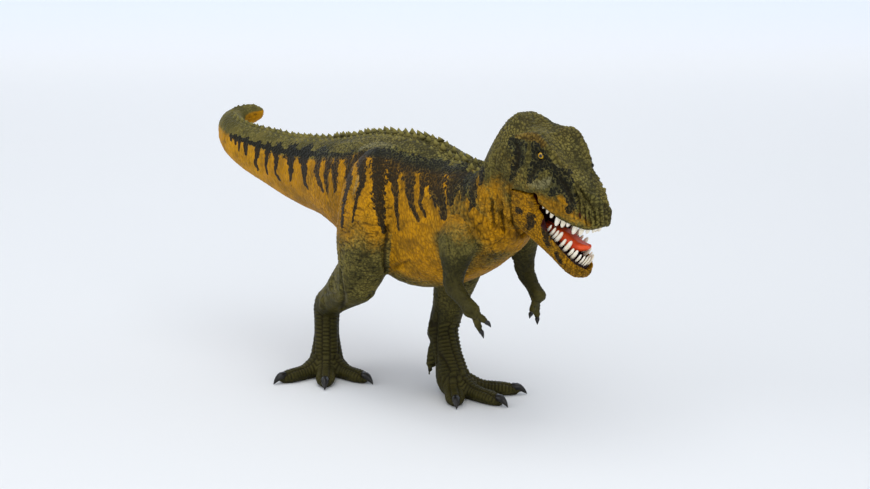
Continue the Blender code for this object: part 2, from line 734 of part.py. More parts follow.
def scute_crest(start, end, aside):
    """Saw-toothed strip of scutes on the back between two places of the spine."""
    rows = sample_rows(SPINE, start, end, crest_steps)
    line = [Vector(row[:3]) for row in rows]
    length = sum((far - near).length for near, far in zip(line, line[1:]))
    count = max(1, round(length / scute_pitch))
    rings = []
    for n in range(2 * count + 1):
        place = start + (end - start) * n / (2 * count)
        row = blend_rows(SPINE, place)
        lean = math.asin(aside / row[5])
        here = spine_frame(place)
        root = here @ Vector((0, math.sin(lean) * row[5], math.cos(lean) * row[3]))
        turn = here.to_3x3()
        out = (turn @ Vector((0, math.sin(lean) * row[3], math.cos(lean) * row[5]))).normalized()
        across = out.cross(turn @ FORWARD)
        height = scute_height if n % 2 else scute_dip
        rings.append([root - out * scute_root - across * scute_half_width,
                      root - out * scute_root + across * scute_half_width,
                      root + out * height])
    return skin_rings(rings)


def build_trunk_half(side, cutters, pockets):
    sign = SIDES[side]
    whole = spine_loft(TAIL_SEAM - trunk_tail_share, NECK_SEAM + trunk_neck_share)
    item = make_object("trunk_shell_" + side, [whole], "painted_vinyl_ochre")
    crest = scute_crest(TAIL_SEAM + crest_gap_share, NECK_SEAM - crest_neck_share,
                        sign * scute_spread)
    join(item, make_object("scutes_" + side, [crest]))
    across = sorted((sign * seam_gap / 2, sign * trunk_length))
    half = box((-trunk_length, across[0], 0), (trunk_length, across[1], back_height + trunk_depth))
    cut(item, half_space(spine_frame(TAIL_SEAM), -1))
    cut(item, half_space(spine_frame(NECK_SEAM), 1))
    cut(item, make_object("half_block_" + side, [half]), "INTERSECT")
    for cutter in cutters:
        cut(item, cutter)
    for pocket in pockets:
        cut(item, pocket)
    if side == "right":
        join(item, make_object("seam_pins", locating_pins(locating_pin_radius, locating_pin_length)))
    else:
        holes = locating_pins(locating_pin_radius + pin_clearance, locating_pin_length + seam_gap)
        cut(item, make_object("seam_pin_holes", holes))
    return item


def build_cavity():
    """Hollow of the trunk, the same width all along so that the limb seats keep a floor."""
    half = trunk_width * hip_seat_share - seat_floor
    rows = sample_rows(SPINE, TAIL_SEAM + cavity_tail_share, NECK_SEAM - cavity_neck_share)
    drawn = [row[:3] + [row[3] - cavity_wall, row[4] - cavity_wall, half] for row in rows]
    return make_object("trunk_cavity", [path_loft(drawn, spine_sides, UP)])


def build_head():
    neck = path_loft(sample_rows(SPINE, NECK_SEAM - neck_root_share, len(SPINE) - 1),
                     spine_sides, UP)
    skull = profile_loft(SKULL_SHARES, skull_reach, skull_half_width, skull_height)
    bmesh.ops.transform(skull, matrix=SKULL_FRAME, verts=skull.verts)
    ends = [SKULL_FRAME @ (LEFT * (sign * head_core_half_width)) for sign in (-1, 1)]
    core = cylinder(ends[0], ends[1], head_core_radius)
    item = make_object("head", [neck, skull, core], "painted_vinyl_olive")
    sculpt(item, coarse_voxel, head_keep_share)

    seam = spine_frame(NECK_SEAM)
    cut(item, half_space(shifted(seam, seam_gap), -1))
    join(item, make_object("neck_plug", [seam_plug(NECK_SEAM, -1, plug_length, plug_inset)]))
    for sign in (-1, 1):
        inner = SKULL_FRAME @ (LEFT * (sign * head_core_half_width))
        outer = SKULL_FRAME @ (LEFT * (sign * (skull_half_width + jaw_lobe_radius)))
        recess = cylinder(inner, outer, jaw_lobe_radius + seam_gap)
        cut(item, make_object("lobe_recess", [recess]))
    space = upper_tooth_radius * (1 + tooth_lean_share) + seam_gap
    recess = row_plate(UPPER_ROW_SHARES, skull_reach, skull_half_width, -upper_tooth_length,
                       palate_height + palate_thickness + seam_gap, space, space)
    cut(item, make_object("palate_recess", [recess], matrix=SKULL_FRAME))
    bore = cylinder(SKULL_FRAME @ (LEFT * -trunk_width), SKULL_FRAME @ (LEFT * trunk_width),
                    hinge_pin_radius + pin_clearance)
    cut(item, make_object("hinge_bore", [bore]))
    return item


def row_points(table, reach, half_width, grow=0, extend=0, steps=row_steps):
    """Outline points of a tooth row from the left corner round the front to the right.

    The line is moved outward by grow, and its two ends back by extend.
    """
    half = [[forward * reach, width * half_width] for forward, width in table]
    half.append([half[-2][0], -half[-2][1]])
    left = [Vector((forward, max(width, 0), 0))
            for forward, width in sample_rows(half, 0, len(half) - 2, steps)]
    whole = left + [Vector((point.x, -point.y, 0)) for point in reversed(left[:-1])]
    grown = []
    for k, point in enumerate(whole):
        along = whole[min(k + 1, len(whole) - 1)] - whole[max(k - 1, 0)]
        outward = Vector((-along.y, along.x, 0)).normalized()
        grown.append(point + outward * grow)
    back = (whole[1] - whole[0]).normalized() * -extend
    grown[0] += back
    grown[-1] += Vector((back.x, -back.y, 0))
    return grown


def row_plate(table, reach, half_width, low, high, grow, extend=0):
    """Plate inside a tooth row's outline, between two heights."""
    points = row_points(table, reach, half_width, grow, extend)
    return skin_rings([[point + UP * height for point in points] for height in (low, high)])


def row_strip(table, reach, half_width, low, high, half_strip):
    """Horseshoe strip along a tooth row."""
    outer = row_points(table, reach, half_width, half_strip)
    inner = row_points(table, reach, half_width, -half_strip)
    outline = outer + inner[::-1]
    return skin_rings([[point + UP * height for point in outline] for height in (low, high)])


def row_places(table, reach, half_width, count):
    """Evenly spaced places along a row, with the outward direction at each."""
    line = row_points(table, reach, half_width, steps=2 * row_steps)
    lengths = [0]
    for near, far in zip(line, line[1:]):
        lengths.append(lengths[-1] + (far - near).length)
    places = []
    for n in range(count):
        target = lengths[-1] * n / (count - 1)
        last = len(line) - 2
        k = next(i for i in range(last + 1) if target < lengths[i + 1] or i == last)
        share = (target - lengths[k]) / (lengths[k + 1] - lengths[k])
        along = (line[k + 1] - line[k]).normalized()
        places.append((line[k].lerp(line[k + 1], share), Vector((-along.y, along.x, 0))))
    return places


def tooth(place, outward, up_sign, length, radius, base_height):
    """Curved conical tooth rooted in its plate."""
    rows = []
    for share, size in TOOTH_SHARES:
        height = base_height + up_sign * (length + tooth_root) * share - up_sign * tooth_root
        bend = (outward * share - FORWARD * (share * share)) * (radius * tooth_lean_share)
        centre = Vector((place.x, place.y, height)) + bend
        rows.append(list(centre) + [radius * size] * 3)
    return path_loft(rows, tooth_sides, FORWARD)


def teeth(table, reach, half_width, shares, up_sign, length, radius, base_height):
    sizes = list(shares) + list(reversed(shares))
    shapes = []
    for (place, outward), share in zip(row_places(table, reach, half_width, len(sizes)), sizes):
        width = radius * (tooth_width_share + (1 - tooth_width_share) * share)
        shapes.append(tooth(place, outward, up_sign, length * share, width, base_height))
    return shapes


def build_upper_teeth():
    plate = row_plate(UPPER_ROW_SHARES, skull_reach, skull_half_width, palate_height,
                      palate_height + palate_thickness, upper_tooth_radius, upper_tooth_radius)
    item = make_object("upper_tooth_row", [plate], "ivory_tooth_paint", SKULL_FRAME)
    shapes = teeth(UPPER_ROW_SHARES, skull_reach, skull_half_width, UPPER_TOOTH_SHARES, -1,
                   upper_tooth_length, upper_tooth_radius, palate_height)
    join(item, make_object("upper_teeth", shapes, matrix=SKULL_FRAME))
    return item


def build_lower_teeth():
    strip = row_strip(LOWER_ROW_SHARES, jaw_reach, jaw_half_width, gum_height,
                      gum_height + gum_thickness, gum_half_width)
    item = make_object("lower_tooth_row", [strip], "ivory_tooth_paint", JAW_FRAME)
    shapes = teeth(LOWER_ROW_SHARES, jaw_reach, jaw_half_width, LOWER_TOOTH_SHARES, 1,
                   lower_tooth_length, lower_tooth_radius, gum_height + gum_thickness)
    join(item, make_object("lower_teeth", shapes, matrix=JAW_FRAME))
    return item


def build_jaw():
    bar = profile_loft(JAW_SHARES, jaw_reach, jaw_half_width, jaw_depth)
    shapes = [bar]
    inner = head_core_half_width + seam_gap
    for sign in (-1, 1):
        shapes.append(cylinder(LEFT * (sign * inner), LEFT * (sign * (inner + jaw_lobe_thickness)),
                               jaw_lobe_radius))
    item = make_object("lower_jaw", shapes, "painted_vinyl_yellow", JAW_FRAME)
    sculpt(item, fine_voxel, jaw_keep_share, 3)

    top = jaw_depth
    back = jaw_lobe_radius + overrun
    ledge = row_plate(LOWER_ROW_SHARES, jaw_reach, jaw_half_width, gum_height - seam_gap, top,
                      gum_half_width + seam_gap, lower_tooth_radius + seam_gap)
    cut(item, make_object("gum_ledge", [ledge], matrix=JAW_FRAME))
    trough = row_plate(LOWER_ROW_SHARES, jaw_reach, jaw_half_width, mouth_floor, top,
                       -gum_half_width + seam_gap)
    cut(item, make_object("mouth_trough", [trough], matrix=JAW_FRAME))
    throat = box((-back, -inner, -jaw_depth - back),
                 (head_core_radius * throat_share, inner, back))
    gullet = box((-back, -inner, mouth_floor),
                 (LOWER_ROW_SHARES[0][0] * jaw_reach + seam_gap, inner, back))
    core = cylinder(LEFT * -inner, LEFT * inner, head_core_radius + 2 * seam_gap)
    cut(item, make_object("throat_space", [throat], matrix=JAW_FRAME))
    cut(item, make_object("gullet_space", [gullet], matrix=JAW_FRAME))
    cut(item, make_object("core_space", [core], matrix=JAW_FRAME))
    reach = inner + jaw_lobe_thickness * bore_grip_share
    bore = cylinder(LEFT * -reach, LEFT * reach, hinge_pin_radius + pin_clearance)
    cut(item, make_object("jaw_bore", [bore], matrix=JAW_FRAME))
    return item


def build_tongue():
    floor = mouth_floor + seam_gap
    rings = []
    for along, wide, top, low in TONGUE_SHARES:
        crown = tongue_height + top * tongue_lift
        base = floor + low * (tongue_height + tongue_lift - floor)
        half = wide * tongue_half_width
        waist = (base + crown) / 2
        profile = [(0, crown - half * tongue_groove_share), (half * tongue_crown_share, crown),
                   (half, waist),
                   (half * tongue_base_share, base + (crown - base) * tongue_rim_share), (0, base)]
        rings.append(profile_ring(along * tongue_reach, profile))
    return make_object("tongue", [skin_rings(rings)], "red_tongue_paint", JAW_FRAME)


def build_pin():
    reach = head_core_half_width + seam_gap + jaw_lobe_thickness * pin_grip_share
    return make_object("jaw_pin", [cylinder(LEFT * -reach, LEFT * reach, hinge_pin_radius)],
                       "plated_steel", SKULL_FRAME)


def build_figure():
    tail = build_tail()
    head = build_head()
    limbs, pockets = zip(*[build(side) for side in SIDES for build in (build_leg, build_arm)])
    plugs = [make_object("tail_socket", [seam_plug(TAIL_SEAM, 1, plug_length + seam_gap,
                                                   plug_inset - seam_gap)]),
             make_object("neck_socket", [seam_plug(NECK_SEAM, -1, plug_length + seam_gap,
                                                   plug_inset - seam_gap)])]
    cutters = plugs + [build_cavity()]
    halves = [build_trunk_half(side, cutters, pockets) for side in ("right", "left")]
    jaw_pieces = [build_jaw(), build_lower_teeth(), build_tongue()]
    return [tail, head, build_upper_teeth(), build_pin()] + list(limbs) + halves + jaw_pieces


def stand_on_origin(pieces):
    """Carry everything on one empty, so that the origin lies under the middle of the figure."""
    bpy.context.view_layer.update()
    graph = bpy.context.evaluated_depsgraph_get()
    corners = [piece.matrix_world @ Vector(corner)
               for piece in pieces for corner in piece.evaluated_get(graph).bound_box]
    low = Vector([min(corner[k] for corner in corners) for k in range(3)])
    high = Vector([max(corner[k] for corner in corners) for k in range(3)])
    stand = bpy.data.objects.new("figure_stand", None)
    bpy.context.scene.collection.objects.link(stand)
    for item in list(bpy.context.scene.objects):
        if item != stand:
            item.parent = stand
    stand.location = (-(low.x + high.x) / 2, -(low.y + high.y) / 2, -low.z)


def main():
    clear_scene()
    stand_on_origin(build_figure())


main()
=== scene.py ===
# Toy dinosaur figure: sculpted and painted vinyl skin, teeth, tongue, claws and eyes.
# The script works in metres, +X forward, +Y to the animal's left, +Z up; tables are in millimetres.
import itertools
import math

import bpy
import numpy as np
import openvdb
from mathutils import Matrix, Vector
from mathutils.bvhtree import BVHTree


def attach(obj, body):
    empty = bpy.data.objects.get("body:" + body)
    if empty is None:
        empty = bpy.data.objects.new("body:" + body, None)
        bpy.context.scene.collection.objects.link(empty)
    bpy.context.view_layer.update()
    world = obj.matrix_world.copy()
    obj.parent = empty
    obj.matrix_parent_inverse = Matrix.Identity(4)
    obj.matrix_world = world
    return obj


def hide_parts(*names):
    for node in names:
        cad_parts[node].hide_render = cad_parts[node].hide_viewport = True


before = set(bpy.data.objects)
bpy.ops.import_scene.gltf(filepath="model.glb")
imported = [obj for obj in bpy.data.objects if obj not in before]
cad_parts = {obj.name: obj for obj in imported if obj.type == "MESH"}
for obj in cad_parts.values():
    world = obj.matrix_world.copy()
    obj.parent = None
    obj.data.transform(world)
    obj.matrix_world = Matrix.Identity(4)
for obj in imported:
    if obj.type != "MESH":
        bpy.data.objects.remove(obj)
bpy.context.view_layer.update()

MM = 0.001

# Camera: direction and distance from the figure, and the focal length in pixels of its picture
CAMERA_AZIMUTH = math.radians(50)
CAMERA_ELEVATION = math.radians(12)
CAMERA_DISTANCE = 0.750
CAMERA_TARGET = Vector((0.0110, 0.0212, 0.0520))
PICTURE_WIDTH = 870
PICTURE_HEIGHT = 489
FOCAL_PIXELS = 1987.5
SENSOR_WIDTH = 36

CAMERA_BACK = Vector((math.sin(CAMERA_AZIMUTH) * math.cos(CAMERA_ELEVATION),
                      -math.cos(CAMERA_AZIMUTH) * math.cos(CAMERA_ELEVATION),
                      math.sin(CAMERA_ELEVATION)))
CAMERA_RIGHT = Vector((math.cos(CAMERA_AZIMUTH), math.sin(CAMERA_AZIMUTH), 0))
CAMERA_UP = CAMERA_BACK.cross(CAMERA_RIGHT)
CAMERA_PLACE = CAMERA_TARGET + CAMERA_BACK * CAMERA_DISTANCE

# Fineness of the skins and the width of the gaps that they close, and the figure's middle plane
SKIN_VOXEL = 0.38 * MM
CREASE_CLOSING = 0.9 * MM
JAW_VOXEL = 0.30 * MM
JAW_CLOSING = 0.05 * MM
MIDDLE_PLANE = 4.2 * MM
# Longest step of a drawn line from one place on the skin to the next
TRAIL_STEP = 6 * MM

# Scales: width on back and crown, on the flanks, and on limbs and jaw, with their relief
BACK_SCALE = 1.2 * MM
FLANK_SCALE = 1.05 * MM
LIMB_SCALE = 0.95 * MM
RELIEF = [0.34 * MM, 0.20 * MM, 0.22 * MM]
CROWN_RELIEF = 0.12 * MM
JAW_RELIEF = 0.15 * MM

# Winding wrinkles of chest and limbs: their size, depth and sharpness
CHEST_WRINKLE = 2.4 * MM
CHEST_WRINKLE_DEPTH = 0.30 * MM
LIMB_WRINKLE = 1.7 * MM
LIMB_WRINKLE_DEPTH = 0.26 * MM
WRINKLE_SHARPNESS = 0.11

# Vinyl paint: sizes of its darker patches, of the streaks of the brush and of its specks, its
# sheen and grain, how much its dark marks and the painted shade of its creases cover, and its
# olive, light and dark. The real specks are under 0.1 mm and are drawn coarser, so that they show.
TONE_PATCH = 7 * MM
BRUSH_STREAK = 0.9 * MM
SPECK = 0.45 * MM
VINYL_IOR = 1.46
VINYL_SPECULAR = 0.10
VINYL_ROUGHNESS = 0.40
VINYL_GRAIN = 0.12 * MM
MARK_COVER = 0.96
CREASE_SHADE_COVER = 0.75
OLIVE = ("#665D2C", "#4A4520")
PAINTED_FIELDS = ("mark", "olive", "pale", "orange", "shaded_crease", "groove", "tone", "top", "lining")
# Its coats in their order: painted field, where the coat begins and where it is full, how ragged
# the brush leaves its edge, how much it covers, and its colour over ochre and over olive
COATS = [
    ("orange", 0.3, 1, 1.4, 0.38, "#80560E", "#80560E"),
    # the top coat: a dry-brushed light tone on the high places that also paints their highlights
    ("top", 0.35, 1, 0, 0.45, "#D69C0C", "#A09650"),
    # the pale coat: pale paint on the cheek, and a painted highlight along the hip
    ("pale", 0.5, 1.3, 1.8, 0.30, "#9C9876", "#9C9876"),
    ("olive", 0.9, 1.7, 0, 0.80, "#26240C", "#26240C"),
    ("tone", 0.55, 1, 0, 0.22, "#2A2408", "#2A2408"),
]

# Studio: background paper (before and behind the figure, its curve, wall, half width, and its
# glow with the distance where that is full), the air's strength as a light and as it is seen, and
# the soft lights with their aim, place, size and power
PAPER_FRONT = 1.2
PAPER_BACK = 0.9
PAPER_CURVE = 0.5
PAPER_WALL = 1.6
PAPER_HALF = 2.4
PAPER_GLOW = 0.52
PAPER_GLOW_FULL = 1.2
AIR_LIGHT = 0.62
AIR_SEEN = 0.95
LIGHT_TARGET = Vector((0, 0, 0.05))
SOFTBOXES = [
    ("top_softbox", (0.10, -0.10, 0.90), 0.9, 4.2),
    ("front_softbox", (0.75, -0.35, 0.45), 0.7, 2.2),
    ("side_softbox", (-0.35, -0.80, 0.40), 0.7, 1.6),
]

# Jaw hinge, with the skull's and the jaw's own axes
HINGE = Vector((84.21, 5.91, 83.79)) * MM
SKULL_TURN = math.radians(6)
SKULL_PITCH = math.radians(22)
MOUTH_OPENING = math.radians(18)
SKULL_FRAME = (Matrix.Translation(HINGE) @ Matrix.Rotation(SKULL_TURN, 4, "Z")
               @ Matrix.Rotation(SKULL_PITCH, 4, "Y"))
JAW_FRAME = SKULL_FRAME @ Matrix.Rotation(MOUTH_OPENING, 4, "Y")

# Cheek that overlaps the rear of the jaw: its edge in the skull's axes (forward, up), its two
# depths from the middle of the head, and how thin the jaw is beneath it
CHEEK_EDGE = [(4.6, 4.4), (-4.4, 1.3), (-2.4, -3.2), (0.2, -7.8)]
CHEEK_RADIUS = 9.0
CHEEK_INNER = 9.5
CHEEK_OUTER = 11.1
JAW_FREE = 11.0
JAW_TUCK = 9.1
JAW_TUCK_MARGIN = 0.25
# Slit at the mouth corner, in the skull's axes (forward, up), and how thin the jaw is above it
MOUTH_SLIT = [(4, 4.1), (10.6, -0.6), (11.4, -4)]
SLIT_TUCK = 7.7

# Tooth rows: forward from the hinge and half width, for the upper and the lower jaw
UPPER_ROW = [(5.1, 5.7), (8.5, 6.8), (13.6, 6.6), (18.7, 5.7), (23.6, 4.5), (26.4, 3), (27.9, 0)]
LOWER_ROW = [(7.9, 6), (13.2, 5.5), (18.5, 4.8), (23.8, 4.1), (27.7, 3.1), (29.7, 1.8), (30.4, 0)]
UPPER_ROOT = 5.0
LOWER_ROOT = -3.6
JAW_RIM_DROP = 2.8

# Tooth tips of the near side in the picture, from the mouth corner forward, with their widths
UPPER_TIPS = [((542.8, 208.8), 1.25), ((546.5, 213.7), 1.45), ((550.6, 218), 1.6),
              ((555.4, 226), 1.95), ((561.4, 227.5), 1.9), ((567, 227), 1.6),
              ((572.6, 234.3), 1.95), ((579.5, 235.5), 1.8), ((586.3, 233.5), 1.55),
              ((592.5, 232.8), 1.4), ((597.5, 232), 1.3), ((602.5, 231.2), 1.25)]
LOWER_TIPS = [((551.5, 225), 0.95), ((555.8, 227.6), 1.05), ((558.8, 230.4), 1.05),
              ((562.7, 232), 1.4), ((566, 239), 1.15), ((571.8, 241), 1.55),
              ((573.8, 248.5), 1.15), ((577.8, 250.3), 1.3), ((581.3, 254.5), 0.9),
              ((585.2, 256), 0.75), ((588.4, 256.3), 0.65)]

# Limb bones: start, end, the way their cross plates face, spacing and depth of plates and folds,
# and the width of a column of plates. The three toes of a foot run from its heel.
RIGHT_TOES, LEFT_TOES = (
    [((*heel, 3), (*end, 2), (0, 0, 1), 1.3, 0.7, 3) for end in ends] for heel, ends in (
        ((-19.9, -7.2), [(-19.9, -32.4), (-1.3, -22.3), (4.4, -3.8)]),
        ((31.3, 12.3), [(50.9, 32.3), (59.5, 15), (49.4, -0.8)])))
LIMB_BONES = {
    "leg_right": [((13, -8.7, 73.8), (9.7, -13.7, 42.9), None, 1.7, 0.12, 0),
                  ((9.7, -13.7, 42.9), (-20.9, -6.3, 26.4), None, 1.5, 0.14, 0),
                  ((-20.9, -6.3, 29), (-19.9, -7.2, 6), (0.777, -0.629, 0), 1.45, 0.8, 3.1),
                  *RIGHT_TOES],
    "leg_left": [((13, 17.2, 73.8), (31.2, 19.3, 51.7), None, 1.7, 0.12, 0),
                 ((31.2, 19.3, 51.7), (21.4, 16.8, 25.1), None, 1.5, 0.14, 0),
                 ((21, 17, 26.5), (31.3, 12.3, 6), (0.90, 0.08, 0.43), 1.45, 0.8, 3.1),
                 *LEFT_TOES],
    "arm_right": [((61, -10.4, 67.1), (61.7, -13.3, 50.4), None, 1.6, 0.08, 0),
                  ((61.7, -13.3, 50.4), (71.6, -13.3, 43.6), (0.3, -0.3, 0.9), 1.25, 0.20, 2.6)],
    "arm_left": [((61, 18.8, 67.1), (60.7, 21.7, 50.4), None, 1.6, 0.08, 0),
                 ((60.7, 21.7, 50.4), (67.5, 21.2, 41.7), (0.3, 0.3, 0.9), 1.25, 0.20, 2.6)],
}

# Teeth and claws from root to tip: share of the length and share of the width, and their bend
TOOTH_PROFILE = [(0, 0.85), (0.3, 1), (0.6, 1), (0.78, 0.9), (0.89, 0.72), (0.95, 0.5),
                 (0.985, 0.28), (1, 0.08)]
TOOTH_BOW = 0.25
CLAW_PROFILE = [(-0.25, 0.7), (0, 1), (0.2, 1), (0.4, 0.88), (0.6, 0.68), (0.78, 0.46),
                (0.92, 0.22), (1, 0.05)]
CLAW_ARCH = 0.16
GUM_RADIUS = 0.95 * MM

# Tongue from its root to its tip, in the jaw's axes: forward, half width, top and underside
TONGUE_ROWS = [(9, 1.4, -3.9, -5.8), (11.5, 2.2, -3, -5.9), (14, 2.8, -1.4, -5.8),
               (16.5, 3.1, 0.4, -5.4), (19, 3.2, 1.2, -4.8), (21.5, 3.1, 1.4, -4),
               (23.6, 3, 1.9, -3), (25.4, 2.6, 2.9, -1.4), (26.7, 2, 3.7, 0.2), (27.5, 1, 3.6, 1.6)]
TONGUE_GROOVE = 0.55

# Eyes: pixel of the near one, how deep they sit, and their radius
EYE_PIXEL = (540.9, 155.7)
EYE_SINK = 0.55 * MM
EYE_RADIUS = 1.15 * MM

# Claws: base, tip and base radius; first those of the front toes
CLAWS = [((*base, 2.9), (*tip, 0.3), 1.55) for base, tip in (
    ((-19.9, -27.9), (-19.9, -32.4)), ((-4.9, -19.4), (-1.3, -22.3)), ((-0.1, -4.4), (4.4, -3.8)),
    ((47.6, 28.9), (50.9, 32.3)), ((54.9, 14.6), (59.5, 15)), ((45.8, 1.9), (49.4, -0.8)))] + [
    ((-23.4, -0.9, 12.2), (-23.6, -0.4, 8.2), 1.15),
    ((20.2, 11.5, 9.8), (19.5, 11, 5.9), 1.15),
    ((78.9, -12.7, 40.4), (81, -12.6, 39), 0.85),
    ((75.7, -12.4, 36.5), (76.8, -12.2, 34.2), 0.85),
    ((71.9, 17.5, 35.5), (72.9, 16.6, 33.6), 0.85),
    ((71.4, 14.9, 37.7), (72.4, 13.3, 36.3), 0.85),
]

# Scutes of the back: path of their row seen from above, spacing, half length and half width of
# the base, height, depth of the root, where the row begins and ends, how low it may lie, the end
# of the tail, and how far from it the scutes are full grown
BACK_PATH = [(-110.6, 19), (-109.5, 12.6), (-104, 8.4), (-96.2, 5.6), (-86, 4.4), (-70, 4.2),
             (30, 4.2), (64, 4.2)]
SCUTE_SPACING = 3.9 * MM
SCUTE_LENGTH = 1.85 * MM
SCUTE_WIDTH = 1.25 * MM
SCUTE_HEIGHT = 1.45 * MM
SCUTE_ROOT = 0.7 * MM
SCUTE_FIRST = 66 * MM
SCUTE_LAST = -101 * MM
SCUTE_LOWEST = 70 * MM
TAIL_END = -112 * MM
SCUTE_GROWTH = 70 * MM
# Rows of scutes: how far to the side (mm), their share of the full height and their shift along
SCUTE_ROWS = [(-1.75, 1, 0), (1.75, 1, 0.5), (-4.6, 0.5, 0.25), (4.6, 0.5, 0.75)]
# Scute from its root to its tip: share of the height, share of the width, lean to the rear
SCUTE_SHAPE = [(0, 1, 0), (0.25, 0.82, 0.04), (0.55, 0.52, 0.14), (0.82, 0.24, 0.26),
               (1, 0.05, 0.34)]

# Olive above this line of the flanks, ochre below it (forward, up)
FLANK_LINE = [(-112, 84), (-104, 84.5), (-90, 82.5), (-70, 80.5), (-50, 80), (-30, 81.5), (-10, 85),
              (5, 88.5), (18, 89), (32, 87.5), (48, 86.5), (60, 88), (72, 92)]


def linear(code):
    """Scene colour of an sRGB hex code."""
    shares = [int(code[k:k + 2], 16) / 255 for k in (1, 3, 5)]
    return tuple(s / 12.92 if s <= 0.04045 else ((s + 0.055) / 1.055) ** 2.4 for s in shares) + (1,)


def add(tree, kind, inputs=(), out=0, **settings):
    """Add a shader node with its settings, set or link its inputs, and give one of its outputs."""
    made = tree.nodes.new("ShaderNode" + kind)
    for name, value in settings.items():
        setattr(made, name, value)
    for key, value in inputs.items() if isinstance(inputs, dict) else enumerate(inputs):
        if isinstance(value, bpy.types.NodeSocket):
            tree.links.new(value, made.inputs[key])
        else:
            made.inputs[key].default_value = value
    return made.outputs[out]


def scatter(cell, salt):
    """Even random numbers from 0 to 1 by a fixed hash, one for each whole-number place."""
    mixed = (cell[:, 0] * 73856093) ^ (cell[:, 1] * 19349663) ^ (cell[:, 2] * 83492791)
    mixed = mixed ^ (salt * 40503)
    mixed = ((mixed ^ (mixed >> 13)) * 1274126177) & 0xFFFFFFFF
    mixed = ((mixed ^ (mixed >> 15)) * 2246822519) & 0xFFFFFFFF
    return ((mixed ^ (mixed >> 16)) & 0xFFFF) / 65535.0


def scales(points, size, salt):
    """Distance of each point from the edge of its scale, and a random number for the scale."""
    grid = points / size
    base = np.floor(grid).astype(np.int64)
    nearest = np.full(len(points), 9.0)
    second = nearest.copy()
    tone = np.zeros(len(points))
    for step in itertools.product((-1, 0, 1), repeat=3):
        cell = base + np.array(step)
        centre = cell + np.stack([scatter(cell, salt + k) for k in range(3)], 1)
        gap = np.linalg.norm(centre - grid, axis=1)
        closer = gap < nearest
        second = np.where(closer, nearest, np.minimum(second, gap))
        tone = np.where(closer, scatter(cell, salt + 7), tone)
        nearest = np.where(closer, gap, nearest)
    return np.clip(second - nearest, 0, 1), tone


def drift(points, size, salt):
    """Smooth random waves from -1 to 1."""
    grid = points / size
    base = np.floor(grid).astype(np.int64)
    share = grid - base
    share = share * share * (3 - 2 * share)
    total = np.zeros(len(points))
    for corner in itertools.product((0, 1), repeat=3):
        weight = np.prod(np.where(np.array(corner) == 1, share, 1 - share), axis=1)
        total += weight * scatter(base + np.array(corner), salt)
    return total * 2 - 1


def ramp(values, low, high):
    """Smooth step from 0 at low to 1 at high."""
    share = np.clip((values - low) / (high - low), 0, 1)
    return share * share * (3 - 2 * share)


def solid_faces(nodes):
    """Points and triangles of CAD nodes, joined."""
    points, triangles, count = [], [], 0
    for name in nodes:
        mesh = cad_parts[name].data
        mesh.calc_loop_triangles()
        some = np.array([vert.co for vert in mesh.vertices])
        points.append(some)
        triangles.append(np.array([tri.vertices for tri in mesh.loop_triangles]) + count)
        count += len(some)
    return np.concatenate(points), np.concatenate(triangles)


def level_quads(points, offset, voxel, **faces):
    """Quads of the surface that lies an offset outside closed faces."""
    band = abs(offset) / voxel + 3
    grid = openvdb.FloatGrid.createLevelSetFromPolygons(
        points.astype(np.float32), transform=openvdb.createLinearTransform(voxelSize=voxel),
        halfWidth=band, **faces)
    return grid.convertToQuads(isovalue=offset)


def skin_over(nodes, voxel, closing, pads=()):
    """One even, closed skin over CAD nodes and added pads, with their narrow seams filled."""
    points, triangles = solid_faces(nodes)
    for more, faces in pads:
        triangles = np.concatenate([triangles, faces + len(points)])
        points = np.concatenate([points, more])
    points, quads = level_quads(points, closing, voxel, triangles=triangles.astype(np.uint32))
    points, quads = level_quads(points, -closing, voxel, quads=quads)
    points, quads = points.astype(float), quads.astype(np.int64)
    corner = points[quads]
    turned = np.cross(corner[:, 2] - corner[:, 0], corner[:, 3] - corner[:, 1])
    if (turned * (corner.mean(1) - points.mean(0))).sum() < 0:
        quads = quads[:, ::-1]
    return points, quads


def edges_of(quads):
    """Numbers of the two points of each edge."""
    pairs = np.concatenate([quads[:, [k, (k + 1) % 4]] for k in range(4)])
    return np.unique(np.sort(pairs, 1), axis=0)


def relaxed(points, edges, rounds):
    """Points moved half way to their neighbours' mean, a few times."""
    count = np.bincount(edges.ravel(), minlength=len(points))[:, None]
    for _ in range(rounds):
        total = np.stack([np.bincount(edges[:, 0], points[edges[:, 1], k], len(points))
                          + np.bincount(edges[:, 1], points[edges[:, 0], k], len(points))
                          for k in range(3)], 1)
        points = points + (total / count - points) * 0.5
    return points


def outward(points, quads):
    """Unit normals of the points of a quad skin."""
    corner = points[quads]
    face = np.cross(corner[:, 2] - corner[:, 0], corner[:, 3] - corner[:, 1])
    total = np.stack([np.bincount(quads.ravel(), np.repeat(face[:, k], 4), len(points))
                      for k in range(3)], 1)
    return total / np.maximum(np.linalg.norm(total, axis=1, keepdims=True), 1e-12)


def along_line(points, line):
    """Distance of points from a line of places, and how far along it the nearest place is."""
    best = np.full(len(points), 1.0)
    place = np.zeros(len(points))
    lengths = np.linalg.norm(np.diff(line, axis=0), axis=1)
    total = max(lengths.sum(), 1e-9)
    done = 0.0
    for start, end, length in zip(line, line[1:], lengths):
        step = (end - start) / max(length * length, 1e-12)
        share = np.clip((points - start) @ step, 0, 1)
        gap = np.linalg.norm(points - start - share[:, None] * (end - start), axis=1)
        closer = gap < best
        best = np.where(closer, gap, best)
        place = np.where(closer, (done + share * length) / total, place)
        done += length
    return best, place


def sight_line(across, down):
    """Direction from the camera through a pixel of its picture."""
    return (CAMERA_RIGHT * ((across - PICTURE_WIDTH / 2) / FOCAL_PIXELS)
            - CAMERA_UP * ((down - PICTURE_HEIGHT / 2) / FOCAL_PIXELS) - CAMERA_BACK)


